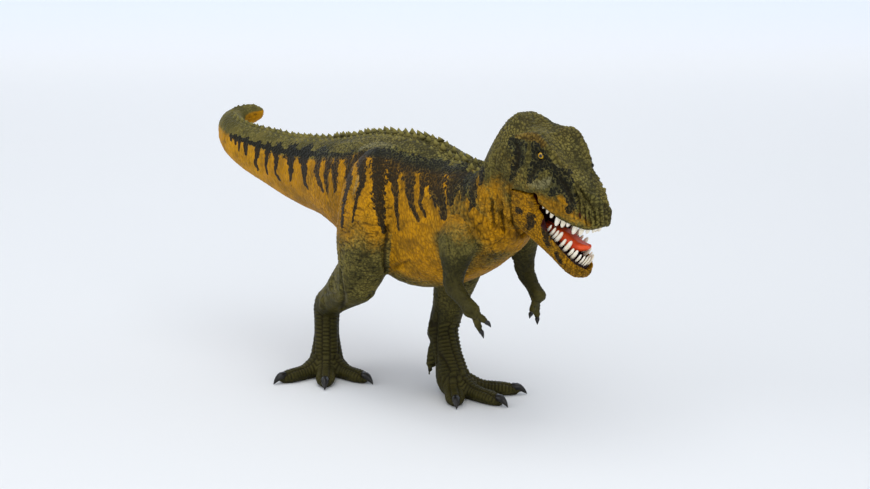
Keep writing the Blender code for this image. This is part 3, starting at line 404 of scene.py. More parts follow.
class Skin:
    """A skin under the sculptor's hand: points, quads, and painted fields on the points."""

    def __init__(self, nodes, voxel, closing, pads=()):
        self.points, self.quads = skin_over(nodes, voxel, closing, pads)
        self.edges = edges_of(self.quads)
        self.points = relaxed(self.points, self.edges, 2)
        self.fields = {}
        self.settle()

    def settle(self):
        """Take the present shape as the one that strokes are laid on."""
        self.base = self.points.copy()
        self.tree = BVHTree.FromPolygons(self.base.tolist(), self.quads.tolist())
        self.renew_normals()

    def field(self, name):
        """A painted field, empty at first."""
        return self.fields.setdefault(name, np.zeros(len(self.points)))

    def seen(self, across, down):
        """Place on the skin behind a pixel of the camera's picture, or None."""
        return self.tree.ray_cast(CAMERA_PLACE, sight_line(across, down).normalized())[0]

    def trail(self, pixels):
        """Places on the skin along a drawn line, as one run that leaves out places that jump too
        far.
        """
        found = []
        for (x0, y0), (x1, y1) in zip(pixels, pixels[1:]):
            count = max(1, round(math.hypot(x1 - x0, y1 - y0) / 2))
            found += [self.seen(x0 + (x1 - x0) * k / count, y0 + (y1 - y0) * k / count)
                      for k in range(count)]
        found.append(self.seen(*pixels[-1]))
        found = [np.array(place) for place in found if place is not None]
        kept = found[:1]
        for place in found[1:]:
            if np.linalg.norm(place - kept[-1]) < TRAIL_STEP:
                kept.append(place)
        if len(kept) == 1:
            kept.append(kept[0] + 0.01 * MM)
        return np.array(kept) if kept else None

    def mirrored(self, line, head):
        """The same line on the animal's other side, laid on the skin."""
        turned = []
        for place in line:
            place = Vector(place)
            if head:
                place = SKULL_FRAME.inverted() @ place
                place.y = -place.y
                place = SKULL_FRAME @ place
            else:
                place.y = 2 * MIDDLE_PLANE - place.y
            turned.append(np.array(self.tree.find_nearest(place)[0]))
        return np.array(turned)

    def closeness(self, line, widths):
        """1 on the line, 0 at its edge and less beyond, for points near it, with their numbers."""
        widths = np.atleast_1d(np.array(widths, float)) * MM
        reach = widths.max() * 2
        near = np.all((self.base > line.min(0) - reach) & (self.base < line.max(0) + reach), axis=1)
        index = np.flatnonzero(near)
        gap, place = along_line(self.base[index], line)
        width = np.interp(place, np.linspace(0, 1, len(widths)), widths)
        return index, 1 - gap / width

    def both_sides(self, pixels, head=False, mirror=True):
        """A drawn line on the skin, with its mirrored one where wanted."""
        line = self.trail(pixels)
        if line is None:
            return []
        return [line, self.mirrored(line, head)] if mirror else [line]

    def paint(self, name, strokes, head=False, value=1.0):
        """Brush strokes into a field: each is a width or widths in mm and a line of pixels."""
        field = self.field(name)
        for widths, pixels in strokes:
            for line in self.both_sides(pixels, head):
                index, close = self.closeness(line, widths)
                field[index] = np.maximum(field[index], value * np.clip(close + 0.5, 0, 1.5))

    def shape(self, strokes, head=False, mirror=True):
        """Raised (or, with a minus, cut) strokes: height in mm, widths in mm, line of pixels."""
        for height, widths, pixels in strokes:
            for line in self.both_sides(pixels, head, mirror):
                index, close = self.closeness(line, widths)
                rise = ramp(close, 0, 1) * height * MM
                self.points[index] += self.normals[index] * rise[:, None]
                # a cut stroke also paints shade into its crease
                if height < 0:
                    shaded_crease = self.field("shaded_crease")
                    deep = ramp(close, 0.2, 1) * min(1, -height * 1.1)
                    shaded_crease[index] = np.maximum(shaded_crease[index], deep)

    def raise_by(self, height):
        self.points += self.normals * height[:, None]

    def renew_normals(self):
        self.normals = outward(self.points, self.quads)


def circle(sides):
    """Cosine and sine of even turns once round."""
    return [(math.cos(2 * math.pi * n / sides), math.sin(2 * math.pi * n / sides))
            for n in range(sides)]


def ring_faces(rings, sides, start=0, flip=False):
    """Faces of rings of points laid one after the other, with a cap at each end."""
    faces = []
    for k in range(start, start + (rings - 1) * sides, sides):
        for n in range(sides):
            after = (n + 1) % sides
            faces.append((k + n, k + after, k + sides + after, k + sides + n))
    last = start + (rings - 1) * sides
    faces += [tuple(range(start, start + sides))[::-1], tuple(range(last, last + sides))]
    return [face[:1] + face[:0:-1] for face in faces] if flip else faces


def placed(name, data):
    """A new object in the scene."""
    item = bpy.data.objects.new(name, data)
    bpy.context.scene.collection.objects.link(item)
    return item


def piece(name, points, faces, material, body, slot, replaced=(), fields=None, normals=None):
    """A finished mesh piece with its painted fields, on the body that carries it."""
    mesh = bpy.data.meshes.new(name)
    mesh.from_pydata(np.array(points).tolist(), [], faces)
    for key, values in (fields or {}).items():
        painted = np.array(values, dtype=np.float32)
        mesh.attributes.new(key, "FLOAT", "POINT").data.foreach_set("value", painted)
    mesh.materials.append(material)
    mesh.shade_smooth()
    if normals is None:
        mesh.validate()
    else:
        mesh.normals_split_custom_set_from_vertices(normals.tolist())
    item = placed(name, mesh)
    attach(item, body)
    if replaced:
        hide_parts(*replaced)


def blank_material(name, ior=1.5, specular=0.5):
    """A new material, its node tree, its shader's inputs and the place on the object."""
    material = bpy.data.materials.new(name)
    material.use_nodes = True
    tree = material.node_tree
    shader = tree.nodes["Principled BSDF"].inputs
    shader["IOR"].default_value = ior
    shader["Specular IOR Level"].default_value = specular
    return material, tree, shader, add(tree, "TexCoord", out="Object")


def painted_vinyl(name, ochre, olive, wash_and_shade):
    """Soft vinyl, moulded with its scales and painted by brush in satin model paint. It gives the
    eye an ochre or olive body colour, dark marks on the tops of the scales with the body colour
    left between them, a dark wash with painted shade in the grooves and creases, a dry-brushed
    light tone that also paints highlights on the high places, and a glossy dark lining in the
    mouth."""
    material, tree, shader, place = blank_material(name, VINYL_IOR, VINYL_SPECULAR)
    field = {key: add(tree, "Attribute", out="Fac", attribute_name=key) for key in PAINTED_FIELDS}
    broad, fine, speck = (add(tree, "TexNoise", {"Vector": place, "Scale": 1 / size,
                                                 "Detail": detail, "Roughness": 0.6})
                          for size, detail in ((TONE_PATCH, 3), (BRUSH_STREAK, 3), (SPECK, 2)))
    soft = {"interpolation_type": "SMOOTHSTEP"}
    blend = {"out": 2, "data_type": "RGBA"}
    streak = add(tree, "Math", [fine, 0.5], operation="SUBTRACT")

    # body colour, each of the two a little darker in patches
    patch = add(tree, "MapRange", [broad, 0.35, 0.65], **soft)
    warm, cool = (add(tree, "Mix", {0: patch, 6: linear(light), 7: linear(dark)}, **blend)
                  for light, dark in (ochre, olive))
    edge = add(tree, "Math", [streak, 0.7, field["olive"]], operation="MULTIPLY_ADD")
    share = add(tree, "MapRange", [edge, 0.2, 0.8], **soft)
    colour = add(tree, "Mix", {0: share, 6: warm, 7: cool}, **blend)
    for key, low, high, ragged, cover, on_ochre, on_olive in COATS:
        edge = add(tree, "Math", [streak, ragged, field[key]], operation="MULTIPLY_ADD")
        share = add(tree, "MapRange", [edge, low, high, 0, cover], **soft)
        tone = add(tree, "Mix", {0: field["olive"], 6: linear(on_ochre), 7: linear(on_olive)},
                   **blend)
        colour = add(tree, "Mix", {0: share, 6: colour, 7: tone}, **blend)

    # dark wash in the grooves, stronger on olive, that also paints their shade
    share = add(tree, "MapRange", [field["groove"], 0.15, 1.0], **soft)
    strength = add(tree, "MapRange", [field["olive"], 0.3, 0.8, wash_and_shade, wash_and_shade + 0.30], **soft)
    share = add(tree, "Math", [share, strength], operation="MULTIPLY")
    tone = add(tree, "Mix", {0: field["olive"], 6: linear("#402A02"), 7: linear("#151406")},
               **blend)
    colour = add(tree, "Mix", {0: share, 6: colour, 7: tone}, **blend)

    # dark marks with ragged edges, and the body colour that shows between their scales
    edge = add(tree, "Math", [streak, 0.7, field["mark"]], operation="MULTIPLY_ADD")
    uneven = add(tree, "Math", [field["tone"], 0.5], operation="SUBTRACT")
    edge = add(tree, "Math", [uneven, 0.7, edge], operation="MULTIPLY_ADD")
    mark = add(tree, "MapRange", [edge, 0.34, 0.46, 0, MARK_COVER], **soft)
    net = add(tree, "Math", [speck, 0.4, field["groove"]], operation="MULTIPLY_ADD")
    net = add(tree, "MapRange", [net, 0.72, 1.02], **soft)
    strength = add(tree, "MapRange", [field["mark"], 0.7, 1.3, 0.62, 0.26], **soft)
    bare = add(tree, "Math", [net, strength], operation="MULTIPLY")
    share = add(tree, "MapRange", [speck, 0.55, 0.72], **soft)
    black = add(tree, "Mix", {0: share, 6: linear("#0D0D07"), 7: linear("#2B2F27")}, **blend)
    between = add(tree, "Mix", {0: field["olive"], 6: linear("#7C5A14"), 7: linear("#67653C")},
                  **blend)
    black = add(tree, "Mix", {0: bare, 6: black, 7: between}, **blend)
    colour = add(tree, "Mix", {0: mark, 6: colour, 7: black}, **blend)

    # painted shade in deep creases, and the lining of the mouth
    share = add(tree, "MapRange", [field["shaded_crease"], 0.1, 1.0, 0, CREASE_SHADE_COVER], **soft)
    colour = add(tree, "Mix", {0: share, 6: colour, 7: linear("#161003")}, **blend)
    lining = add(tree, "MapRange", [field["lining"], 0.4, 0.6], **soft)
    dark = add(tree, "Mix", {0: speck, 6: linear("#22090A"), 7: linear("#3D0F0C")}, **blend)
    colour = add(tree, "Mix", {0: lining, 6: colour, 7: dark}, **blend)
    tree.links.new(colour, shader["Base Color"])

    rough = VINYL_ROUGHNESS
    for value, more in ((mark, -0.08), (fine, 0.22), (lining, -0.2)):
        rough = add(tree, "Math", [value, more, rough], operation="MULTIPLY_ADD")
    tree.links.new(rough, shader["Roughness"])
    grain = add(tree, "Bump", {"Height": speck, "Strength": 0.35, "Distance": VINYL_GRAIN})
    tree.links.new(grain, shader["Normal"])
    return material


def mottled_finish(name, light, dark, roughness, mottle, specular=0.5):
    """A plain finish that is a little darker and rougher in places, as brushed enamel pools."""
    material, tree, shader, place = blank_material(name, specular=specular)
    noise = add(tree, "TexNoise", {"Vector": place, "Scale": 1 / mottle, "Detail": 3})
    share = add(tree, "MapRange", [noise, 0.35, 0.65])
    tone = add(tree, "Mix", {0: share, 6: linear(light), 7: linear(dark)}, out=2, data_type="RGBA")
    tree.links.new(tone, shader["Base Color"])
    rough = add(tree, "Math", [noise, 0.2, roughness - 0.1], operation="MULTIPLY_ADD")
    tree.links.new(rough, shader["Roughness"])
    return material


def eye_enamel():
    """Gloss enamel, dabbed on by brush: a wet yellow bead with a black pupil."""
    material = mottled_finish("yellow_eye_gloss", "#E0B414", "#B8860E", 0.15, 0.6 * MM)
    tree = material.node_tree
    colour = tree.nodes["Principled BSDF"].inputs["Base Color"]
    pupil = add(tree, "Attribute", out="Fac", attribute_name="pupil")
    tone = add(tree, "Mix", {0: pupil, 6: colour.links[0].from_socket, 7: linear("#050505")},
               out=2, data_type="RGBA")
    tree.links.new(tone, colour)
    return material


def loft(rows, sides):
    """Points and faces of a round loft along rows of a centre and a radius."""
    centres = [Vector(centre) for centre, _ in rows]
    points, fore = [], None
    for k, (_, radius) in enumerate(rows):
        tangent = (centres[min(k + 1, len(rows) - 1)] - centres[max(k - 1, 0)]).normalized()
        fore = fore or tangent.orthogonal()
        fore = (fore - tangent * fore.dot(tangent)).normalized()
        side = tangent.cross(fore)
        points += [centres[k] + (fore * cos + side * sin) * radius for cos, sin in circle(sides)]
    return points, ring_faces(len(rows), sides)


def joined(lofts):
    """Several lofts as one list of points and one of faces."""
    points, faces = [], []
    for some, more in lofts:
        faces += [tuple(k + len(points) for k in face) for face in more]
        points += some
    return points, faces


def claw_shape(base, tip, radius):
    """Curved claw with a sharp tip."""
    base, tip = Vector(base) * MM, Vector(tip) * MM
    rows = []
    for share, size in CLAW_PROFILE:
        rise = CLAW_ARCH * (1 - (2 * share - 1) ** 2) if share > 0 else 0
        arch = Vector((0, 0, (tip - base).length * rise))
        rows.append((base.lerp(tip, share) + arch, radius * MM * size))
    return loft(rows, 16)


def cheek_pad(side):
    """Closed wedge in the skull's axes that the cheek's skin runs over, at one side of the head."""
    first, last = (math.atan2(*CHEEK_EDGE[k][::-1]) for k in (0, -1))
    rim = [(CHEEK_RADIUS * math.cos(a), CHEEK_RADIUS * math.sin(a))
           for a in np.linspace(last + 2 * math.pi, first, 14)]
    middle = [1.6 * sum(place[k] for place in rim) / len(rim) for k in (0, 1)]
    outline = CHEEK_EDGE + rim + [middle]
    points = [SKULL_FRAME @ (Vector((f, side * depth, u)) * MM)
              for depth in (CHEEK_INNER, CHEEK_OUTER) for f, u in outline]
    other = len(outline)
    count = other - 1
    faces = []
    for k in range(count):
        after = (k + 1) % count
        faces += [(k, after, count), (after + other, k + other, count + other),
                  (k, k + other, after + other), (k, after + other, after)]
    return np.array(points), np.array(faces)


def behind_cheek(forward, up):
    """How far places lie behind or above the cheek's edge, in millimetres of the skull's axes."""
    gap = np.full(len(forward), -1e3)
    for (f0, u0), (f1, u1) in zip(CHEEK_EDGE, CHEEK_EDGE[1:]):
        turn = (f1 - f0) * (up - u0) - (u1 - u0) * (forward - f0)
        gap = np.maximum(gap, -turn / math.hypot(f1 - f0, u1 - u0))
    return gap


def in_axes(points, axes):
    """Places in millimetres in a frame's own axes: forward, left, up."""
    turned = np.array(axes.inverted())
    return ((points @ turned[:3, :3].T + turned[:3, 3]) / MM).T


def row_half(row, forward):
    """Half width of a tooth row at places along it."""
    return np.interp(forward, [f for f, _ in row], [half for _, half in row])


def over_row(pixel, axes, row):
    """Place on the near side's tooth row, in its own axes, that shows at a pixel."""
    turned = axes.inverted()
    start, ray = turned @ CAMERA_PLACE, turned.to_3x3() @ sight_line(*pixel)
    half = 4
    for _ in range(30):
        place = start + ray * ((-half * MM - start.y) / ray.y)
        half = 0.6 * half + 0.4 * max(0.8, float(row_half(row, place.x / MM)))
    return place / MM


def tooth_shape(axes, root, tip, width):
    """Tooth from its root to its tip, bent a little backward, in a jaw's axes (millimetres)."""
    rows = []
    for share, size in TOOTH_PROFILE:
        bow = Vector((TOOTH_BOW * (1 - (2 * share - 1) ** 2), 0, 0))
        rows.append((axes @ ((root.lerp(tip, share) + bow) * MM), width / 2 * size * MM))
    return loft(rows, 12)


def tooth_row(tips, axes, row, root, lean):
    """Teeth of both sides of a jaw, the far side like the near one, and two at the very front."""
    teeth = []
    for pixel, width in tips:
        tip = over_row(pixel, axes, row)
        forward = min(tip.x, row[-1][0] - 0.4)
        for side in (-1, 1):
            foot = Vector((forward - 0.3, side * (abs(tip.y) - lean), root))
            end = Vector((forward, side * abs(tip.y), tip.z))
            teeth.append(tooth_shape(axes, foot, end, width))
    front = row[-1][0]
    pixel, width = tips[-1]
    height = over_row(pixel, axes, row).z
    for side in (-0.9, 0.9):
        teeth.append(tooth_shape(axes, Vector((front - 0.3, side, root)),
                                 Vector((front, side, height)), width))
    return teeth


def gum_strip(axes, row, height):
    """Rounded gum that the teeth of a row rise from."""
    near = [(f, -half) for f, half in row]
    line = near + [(f, -l) for f, l in reversed(near[:-1])]
    fine = [(f0 + (f1 - f0) * k / 4, l0 + (l1 - l0) * k / 4)
            for (f0, l0), (f1, l1) in zip(line, line[1:]) for k in range(4)]
    rows = [(axes @ (Vector((f, l, height)) * MM), GUM_RADIUS) for f, l in fine + [line[-1]]]
    return loft(rows, 12)


def tongue_shape():
    """Tongue with a groove down its middle and a lifted tip, in the jaw's axes."""
    sides = 24
    points = []
    for forward, half, top, low in TONGUE_ROWS:
        for rise, across in circle(sides):
            groove = TONGUE_GROOVE * math.exp(-(across * 2.6) ** 2) if rise > 0 else 0
            height = (top + low) / 2 + rise * (top - low) / 2 - groove
            points.append(JAW_FRAME @ (Vector((forward, across * half, height)) * MM))
    return points, ring_faces(len(TONGUE_ROWS), sides, flip=True)


def eyeballs(skin):
    """Two glossy eyes with a pupil each, sunk in their sockets."""
    near = skin.seen(*EYE_PIXEL)
    far = Vector(skin.mirrored([np.array(near)], True)[0])
    rings, sides = 9, 20
    points, faces, pupil = [], [], []
    for place in (near, far):
        side = (SKULL_FRAME.inverted() @ place).y
        look = Vector((0.35, math.copysign(0.9, side), 0.1))
        look = (SKULL_FRAME.to_3x3() @ look).normalized()
        fore = look.orthogonal().normalized()
        cross = look.cross(fore)
        faces += ring_faces(rings, sides, len(points), flip=True)
        for k in range(rings):
            # from pole to pole, with a tiny ring in place of each pole
            angle = math.pi * (k + 0.001) / (rings - 0.998)
            for cos, sin in circle(sides):
                out = look * math.cos(angle) + (fore * cos + cross * sin) * math.sin(angle)
                points.append(place - look * EYE_SINK + out * EYE_RADIUS)
                pupil.append(float(k < 2))
    piece("eyes", points, faces, eye_enamel(), "figure", "skin_yellow", fields={"pupil": pupil})


# Drawn marks and forms: pixels of the camera's picture, laid on the skin behind them
STRIPES = [
    # tail, from its curl to its root
    ((0.9, 0.6), [(230.6, 135.3), (231, 140.1)]),
    ((1.2, 0.8), [(235.4, 136.9), (235.8, 143.4)]),
    ((1.5, 0.6), [(239.5, 138.5), (238.7, 149.8)]),
    ((1.8, 0.9), [(246.3, 141.7), (245.9, 153.1)]),
    ((2.1, 1.2, 0.8), [(257.7, 146.6), (255.3, 162.8), (257.7, 169.3)]),
    ((2.4, 1.2, 0.6), [(268.2, 148.2), (265.8, 164.4), (267.4, 173.3)]),
    ((2.8, 1.5, 0.9, 0.6), [(277.1, 149), (275.5, 166.8), (275.5, 173.3), (280, 179.8)]),
    ((3.8, 2.2, 0.9), [(290.9, 151.5), (290.9, 167.7), (290.1, 179)]),
    ((3.6, 2.4, 1.5, 0.8), [(304.7, 153.1), (304.3, 170.9), (304.7, 183), (307.9, 187.9)]),
    ((3.8, 2.1, 1.5, 0.8), [(320.1, 154.7), (316.4, 170.9), (319.3, 182.2), (323.3, 191.1)]),
    ((2.4, 1.7, 0.9), [(329, 159.6), (325.7, 174.9), (327.3, 191.1)]),
    ((2.4, 1.2), [(334.4, 166.9), (335, 189)]),
    # hip and flank, from the tail's root forward
    ((2.4, 2.5, 1.9, 1.4, 1), [(349.2, 157.3), (349.2, 181.3), (345.2, 196), (342.6, 209.2),
        (341.9, 225.3)]),
    ((2.5, 2.4, 2, 1.2, 0.8, 0.5), [(362.4, 155.1), (361.7, 171), (362.4, 181.3), (357.3, 196),
        (354.3, 209.9), (352.5, 221)]),
    ((3.5, 3, 2.8, 2.4, 1.5, 0.8), [(379.3, 154.2), (378.5, 174), (377.8, 192.3), (379.3, 207),
        (381.5, 221.7), (384.4, 232)]),
    ((2.6, 2, 1.4, 1.1, 0.5), [(393.9, 164.1), (394.7, 181.3), (396.1, 196), (396.6, 210.7),
        (398.3, 229)]),
    ((3.5, 2.4, 1.4, 0.8), [(409.3, 167), (409.3, 188.7), (410.8, 203.3), (418.1, 220.2)]),
    ((1.4, 1.2, 1, 0.6), [(423.3, 174), (422.5, 192.3), (419.6, 203.3), (425.5, 216.5)]),
    ((5, 4, 2.4, 1.2), [(436.2, 167.9), (437.2, 187.7), (441.6, 202.3), (444.5, 218)]),
    ((0.8, 0.5), [(434.1, 198.7), (435.6, 206.7)]),
    ((4.4, 3.5, 1.5), [(458.7, 169.3), (452.8, 185.5), (449.9, 201)]),
    ((3.1, 2.2, 1), [(463, 173), (464.5, 184), (463, 198)]),
    ((3.1, 2, 1.9, 0.6), [(472.6, 175.2), (471.9, 185.5), (473.3, 202.3), (468.9, 209.7)]),
    ((1.9, 1.1), [(481.4, 171.3), (480.7, 182)]),
    # the dark line that they hang from
    ((0.5, 0.8, 0.9, 0.9), [(229.5, 135.5), (244, 140.5), (258, 145), (274.7, 149.2)]),
    ((0.9, 1.1, 1.2, 1.3), [(274.7, 150.2), (300, 152.6), (322, 154.4), (345, 156)]),
    ((1.5, 1.9, 2.2, 2.8, 3.8, 3.5, 2.4), [(352.9, 160.8), (366, 153), (376.3, 152.3),
        (388, 153.5), (398.3, 160), (411.5, 164.7), (422.5, 164.7), (438.7, 166.5)]),
    ((2.2, 1.9, 1.5), [(438.7, 167.5), (457.2, 170.3), (466, 173.7), (477.7, 172.3),
        (483.6, 168.1)]),
]
HEAD_MARKS = [
    ((2.4, 2.8, 2.1, 1.3, 0.7), [(513.3, 140), (519, 146), (518.5, 158.6), (514.8, 171),
        (510.5, 179.5)]),
    ((1.8, 1.7, 1.7), [(535.5, 147.5), (535.2, 157.6), (540.4, 163.6)]),
    ((2.4, 2.3, 1.3), [(538, 165), (534.7, 170.6), (529.7, 178.3)]),
    ((1.8, 1.7), [(541, 164.6), (549.6, 164.6), (555.6, 170.6)]),
    ((3.2, 2.8, 2.1, 1.7, 1.3), [(559.8, 177.5), (566, 186), (571, 196.9), (571.5, 205.9),
        (568.5, 210.6)]),
    ((2.3, 1.1), [(558.1, 186), (551.9, 194)]),
    # dark skin round the eye
    ((1.7, 1.7), [(537.5, 151.5), (545.5, 158.5)]),
]
JAW_MARKS = [
    ((1.1,), [(517.5, 210), (519.5, 211.5)]),
    ((1.5, 1.6, 1), [(530.5, 216.5), (531, 222), (528.6, 228.5)]),
    ((0.8, 1.2, 1.2), [(543, 229), (545.9, 235.2), (547.6, 243.4)]),
    ((0.7, 1.1), [(556, 253.6), (559.4, 261.6)]),
]
BROW_BAND = [((1.2, 1.8, 1.6, 1.1), [(518, 135), (526, 134.5), (534.5, 138.5), (543.6, 146)])]
PALE_CHEEK = [((2, 2.4, 1.8), [(530, 183), (541, 184.5), (552, 180)]),
              ((1,), [(560, 169), (556, 166)])]
# painted highlight along the top of the hip and down its side
PALE_FLANK_HIGHLIGHT = [((2.6, 3, 2.2), [(362, 149), (374, 145.5), (390, 147.5)]),
              ((1.6, 1.4, 0.8), [(362, 168), (357, 182), (353, 194)])]
NECK_OCHRE = [((5, 6, 6.5, 6), [(478, 186), (484, 204), (494, 222), (508, 238)]),
              ((5, 5.5, 5), [(496, 186), (502, 206), (512, 226)])]
JAW_FORMS = [
    (-0.35, (0.45, 0.5), [(512, 194), (526, 202), (536, 214)]),
    (-0.3, (0.4, 0.4), [(518, 192), (532, 202)]),
    # folds of the chin
    *((-0.5, (0.45,), fold) for fold in (
        [(560, 250), (553, 258)], [(564, 255), (558, 264)],
        [(568, 260), (563, 269)], [(572.5, 263.5), (569, 273.5)],
        [(577, 266), (575.5, 277)], [(582, 267.5), (582, 277.5)],
        [(587, 267.5), (588, 275)])),
]
LIP_BAND = [
    ((2.6, 2.2, 2, 2.2, 2.2, 1.6), [(508.6, 190.2), (521, 191.5), (539.7, 198.2),
        (557.1, 206.9), (570.5, 214.8), (586.9, 224)]),
    ((1.2,), [(560, 198), (565, 203)]),
    ((1.5, 1.7, 1.5), [(541, 202.5), (549, 208.5), (558, 213.5), (567, 218.5), (576, 222)]),
]
# Rise of the crown along the skull (forward, up), in the skull's axes
CROWN_PROFILE = [(-22, 0), (-17, 0.6), (-13, -0.6), (-8.5, -1.5), (-5, -0.6), (-2, 0.4), (4, 0)]
HEAD_FORMS = [
    # brow ridge, sockets, hollows and the ridge down the muzzle
    (0.9, (1.8, 2.2, 2.2, 2, 1.6), [(518, 133.5), (526.3, 133), (536.5, 137), (546.6, 147),
        (556.6, 158.2), (563.8, 170.6)]),
    (-0.8, (2, 2.4, 1.6), [(515.3, 143), (518, 152), (515.5, 168)]),
    (-0.9, (1.8, 1.8), [(537.5, 154), (541, 160)]),
    (-0.6, (1.6, 1.4), [(536, 168), (531, 177)]),
    (-0.8, (2, 2.2, 1.6), [(559.8, 180), (566, 188), (570.5, 201)]),
    (0.5, (1.4, 1.4), [(526.5, 152), (527, 166), (524, 178)]),
    (0.5, (1.6, 1.8, 1.4), [(545, 176), (552, 190), (560, 200)]),
    (0.6, (1.6, 1.4, 1.4), [(567, 166.6), (574.5, 182), (584.4, 201.2)]),
    (-0.7, (0.5, 0.6), [(578, 184), (586, 200)]),
    (-0.6, (0.45, 0.45), [(571, 176), (582, 197)]),
    (-1.7, (1.9, 2.5, 2.1), [(588.5, 199), (590.6, 203.5), (593, 208)]),
    (0.6, (1, 1), [(585.5, 193.5), (593.5, 195.5), (599.5, 201.5)]),
    # grooves of the snout
    *((-0.9, (0.7, 0.8, 0.6), groove) for groove in (
        [(583.2, 203.9), (584.5, 213), (586, 225)],
        [(588, 211.4), (589.5, 218), (591, 226.3)],
        [(594, 211.9), (595.2, 219), (596, 226.3)],
        [(599.6, 208.6), (600.6, 217), (601, 225.3)])),
    (-0.9, (0.7, 0.7, 0.6), [(604.5, 205.6), (605.4, 214), (605.6, 223.3)]),
    (-1, (0.8, 0.9, 0.8), [(574.5, 189), (579, 202), (579.5, 218)]),
    (-0.8, (0.6, 0.7, 0.6), [(581, 190), (584.5, 198), (585.5, 206)]),
    # short folds over the lip, from the mouth corner forward
    *((-0.5, (0.4,), fold) for fold in (
        [(541, 194), (544, 201.5)], [(546, 196), (548.5, 205.5)],
        [(551, 199), (553, 209)], [(556, 202), (558, 212.5)],
        [(561.5, 205), (563, 215.5)], [(567, 207), (568.5, 218.5)],
        [(573, 209.5), (574.5, 221)])),
]
NECK_FORMS = [
    (-0.8, (0.8, 1, 0.9), [(508.6, 184.5), (509.3, 205.9), (514, 224.5), (522, 236)]),
    (-1, (0.9, 1.2, 1), [(491, 201.2), (492.6, 213), (493.7, 227.5)]),
    (-1, (0.9, 1.2, 1), [(501, 202.4), (502.6, 216), (504.6, 231.3)]),
    (-0.5, (0.6, 0.7), [(484.5, 212), (488, 232)]),
    (-0.5, (0.5, 0.5), [(497.5, 226), (505, 240)]),
    (-0.4, (0.5, 0.5), [(490, 230), (500, 244)]),
    (0.5, (1.2, 1.2), [(497.5, 200), (498.5, 226)]),
    (-0.4, (0.6, 0.6), [(497, 150), (493, 172), (492, 186)]),
    (-0.4, (0.6, 0.6), [(504, 148), (500, 168), (499, 186)]),
]
TRUNK_FORMS = [
    (-0.9, (1.4, 1.8, 1.4), [(388, 226), (385.5, 245), (385, 262), (387, 272)]),
    (-0.6, (1.2, 1.3, 1.1), [(389, 268), (400, 279), (414, 283.5), (432, 282)]),
    (-0.4, (1.2, 1.2), [(392, 252), (399, 262)]),
    (0.5, (3, 3.5, 3), [(362, 151), (374, 147), (388, 147)]),
    (0.5, (2.2, 2.6, 2), [(458, 205), (461, 216), (466, 226)]),
    (-0.5, (0.9, 0.9), [(447, 236), (449, 252)]),
    *((-0.35, (0.5,), shaded_crease) for shaded_crease in (
        [(452, 212), (462, 226)], [(463, 214), (472, 232)],
        [(470, 222), (482, 242)], [(476, 214), (487, 236)])),
    (-0.6, (1.6, 1.2), [(393, 268), (401, 264), (409, 261)]),
]
LEG_FORMS = [
    # right leg: calf behind the thigh, heel and the creases between
    (-0.8, (1.6, 2.2, 2, 1.4), [(340, 272), (341.5, 284), (343.5, 300), (341.5, 310)]),
    (1, (2.8, 2.4), [(332, 280), (331, 287)]),
    (-0.5, (1.3, 1.4), [(325, 291.5), (336, 294.5)]),
    (0.9, (2.8, 2.4), [(322.5, 300), (322, 306)]),
    # left leg: heel, and the hollow in front of it
    (0.8, (2.4, 2.4), [(431, 324), (430.5, 332)]),
    (-0.7, (1.2, 1.5, 1.2), [(437, 314), (435.5, 340), (436.5, 362)]),
]


def scute_places(skin):
    """Foot, heading, sideways direction and size of each scute along the back."""
    path = [Vector((x, y, 0)) * MM for x, y in BACK_PATH]
    lengths = [(b - a).length for a, b in zip(path, path[1:])]
    for aside, share, shift in SCUTE_ROWS:
        for n in range(int(sum(lengths) / SCUTE_SPACING)):
            left = (n + shift) * SCUTE_SPACING
            for start, end, length in zip(path, path[1:], lengths):
                if left <= length:
                    break
                left -= length
            ahead = (end - start).normalized()
            side = Vector((-ahead.y, ahead.x, 0))
            middle = start + ahead * left
            narrow = min(1, max(0.25, (middle.x - TAIL_END) / SCUTE_GROWTH))
            spot = middle + side * (aside * MM * narrow)
            above = Vector((spot.x, spot.y, 130 * MM))
            foot, normal = skin.tree.ray_cast(above, Vector((0, 0, -1)))[:2]
            if (foot is not None and foot.z > SCUTE_LOWEST
                    and SCUTE_LAST < foot.x < SCUTE_FIRST):
                yield foot, normal, ahead, share * (0.45 + 0.55 * narrow)


def back_scutes(skin, material):
    """Keeled scutes that lean to the rear, two full rows and two low ones beside them."""
    sides = 8
    points, faces, top = [], [], []
    for foot, normal, ahead, size in scute_places(skin):
        normal = (normal + Vector((0, 0, 1))).normalized()
        ahead = (ahead - normal * ahead.dot(normal)).normalized()
        side = normal.cross(ahead)
        breadth = 0.5 + 0.5 * size
        faces += ring_faces(len(SCUTE_SHAPE), sides, len(points))
        for rise, share, lean in SCUTE_SHAPE:
            height = rise * (SCUTE_HEIGHT * size + SCUTE_ROOT) - SCUTE_ROOT
            middle = foot + normal * height - ahead * (lean * SCUTE_LENGTH)
            for cos, sin in circle(sides):
                out = ahead * (cos * SCUTE_LENGTH) + side * (sin * SCUTE_WIDTH)
                points.append(middle + out * (share * breadth))
                top.append(rise)
    top = np.array(top)
    fields = {key: np.zeros(len(points)) for key in skin.fields}
    fields["olive"] += 1
    # lighter towards the tips and darker at the root: dry-brush and wash that also paint highlight
    # and shade
    fields["top"] = 0.25 + 0.75 * top
    fields["groove"] = ramp(-top, -0.5, -0.2) * 0.7
    piece("back_scutes", points, faces, material, "figure", "skin_olive", fields=fields)


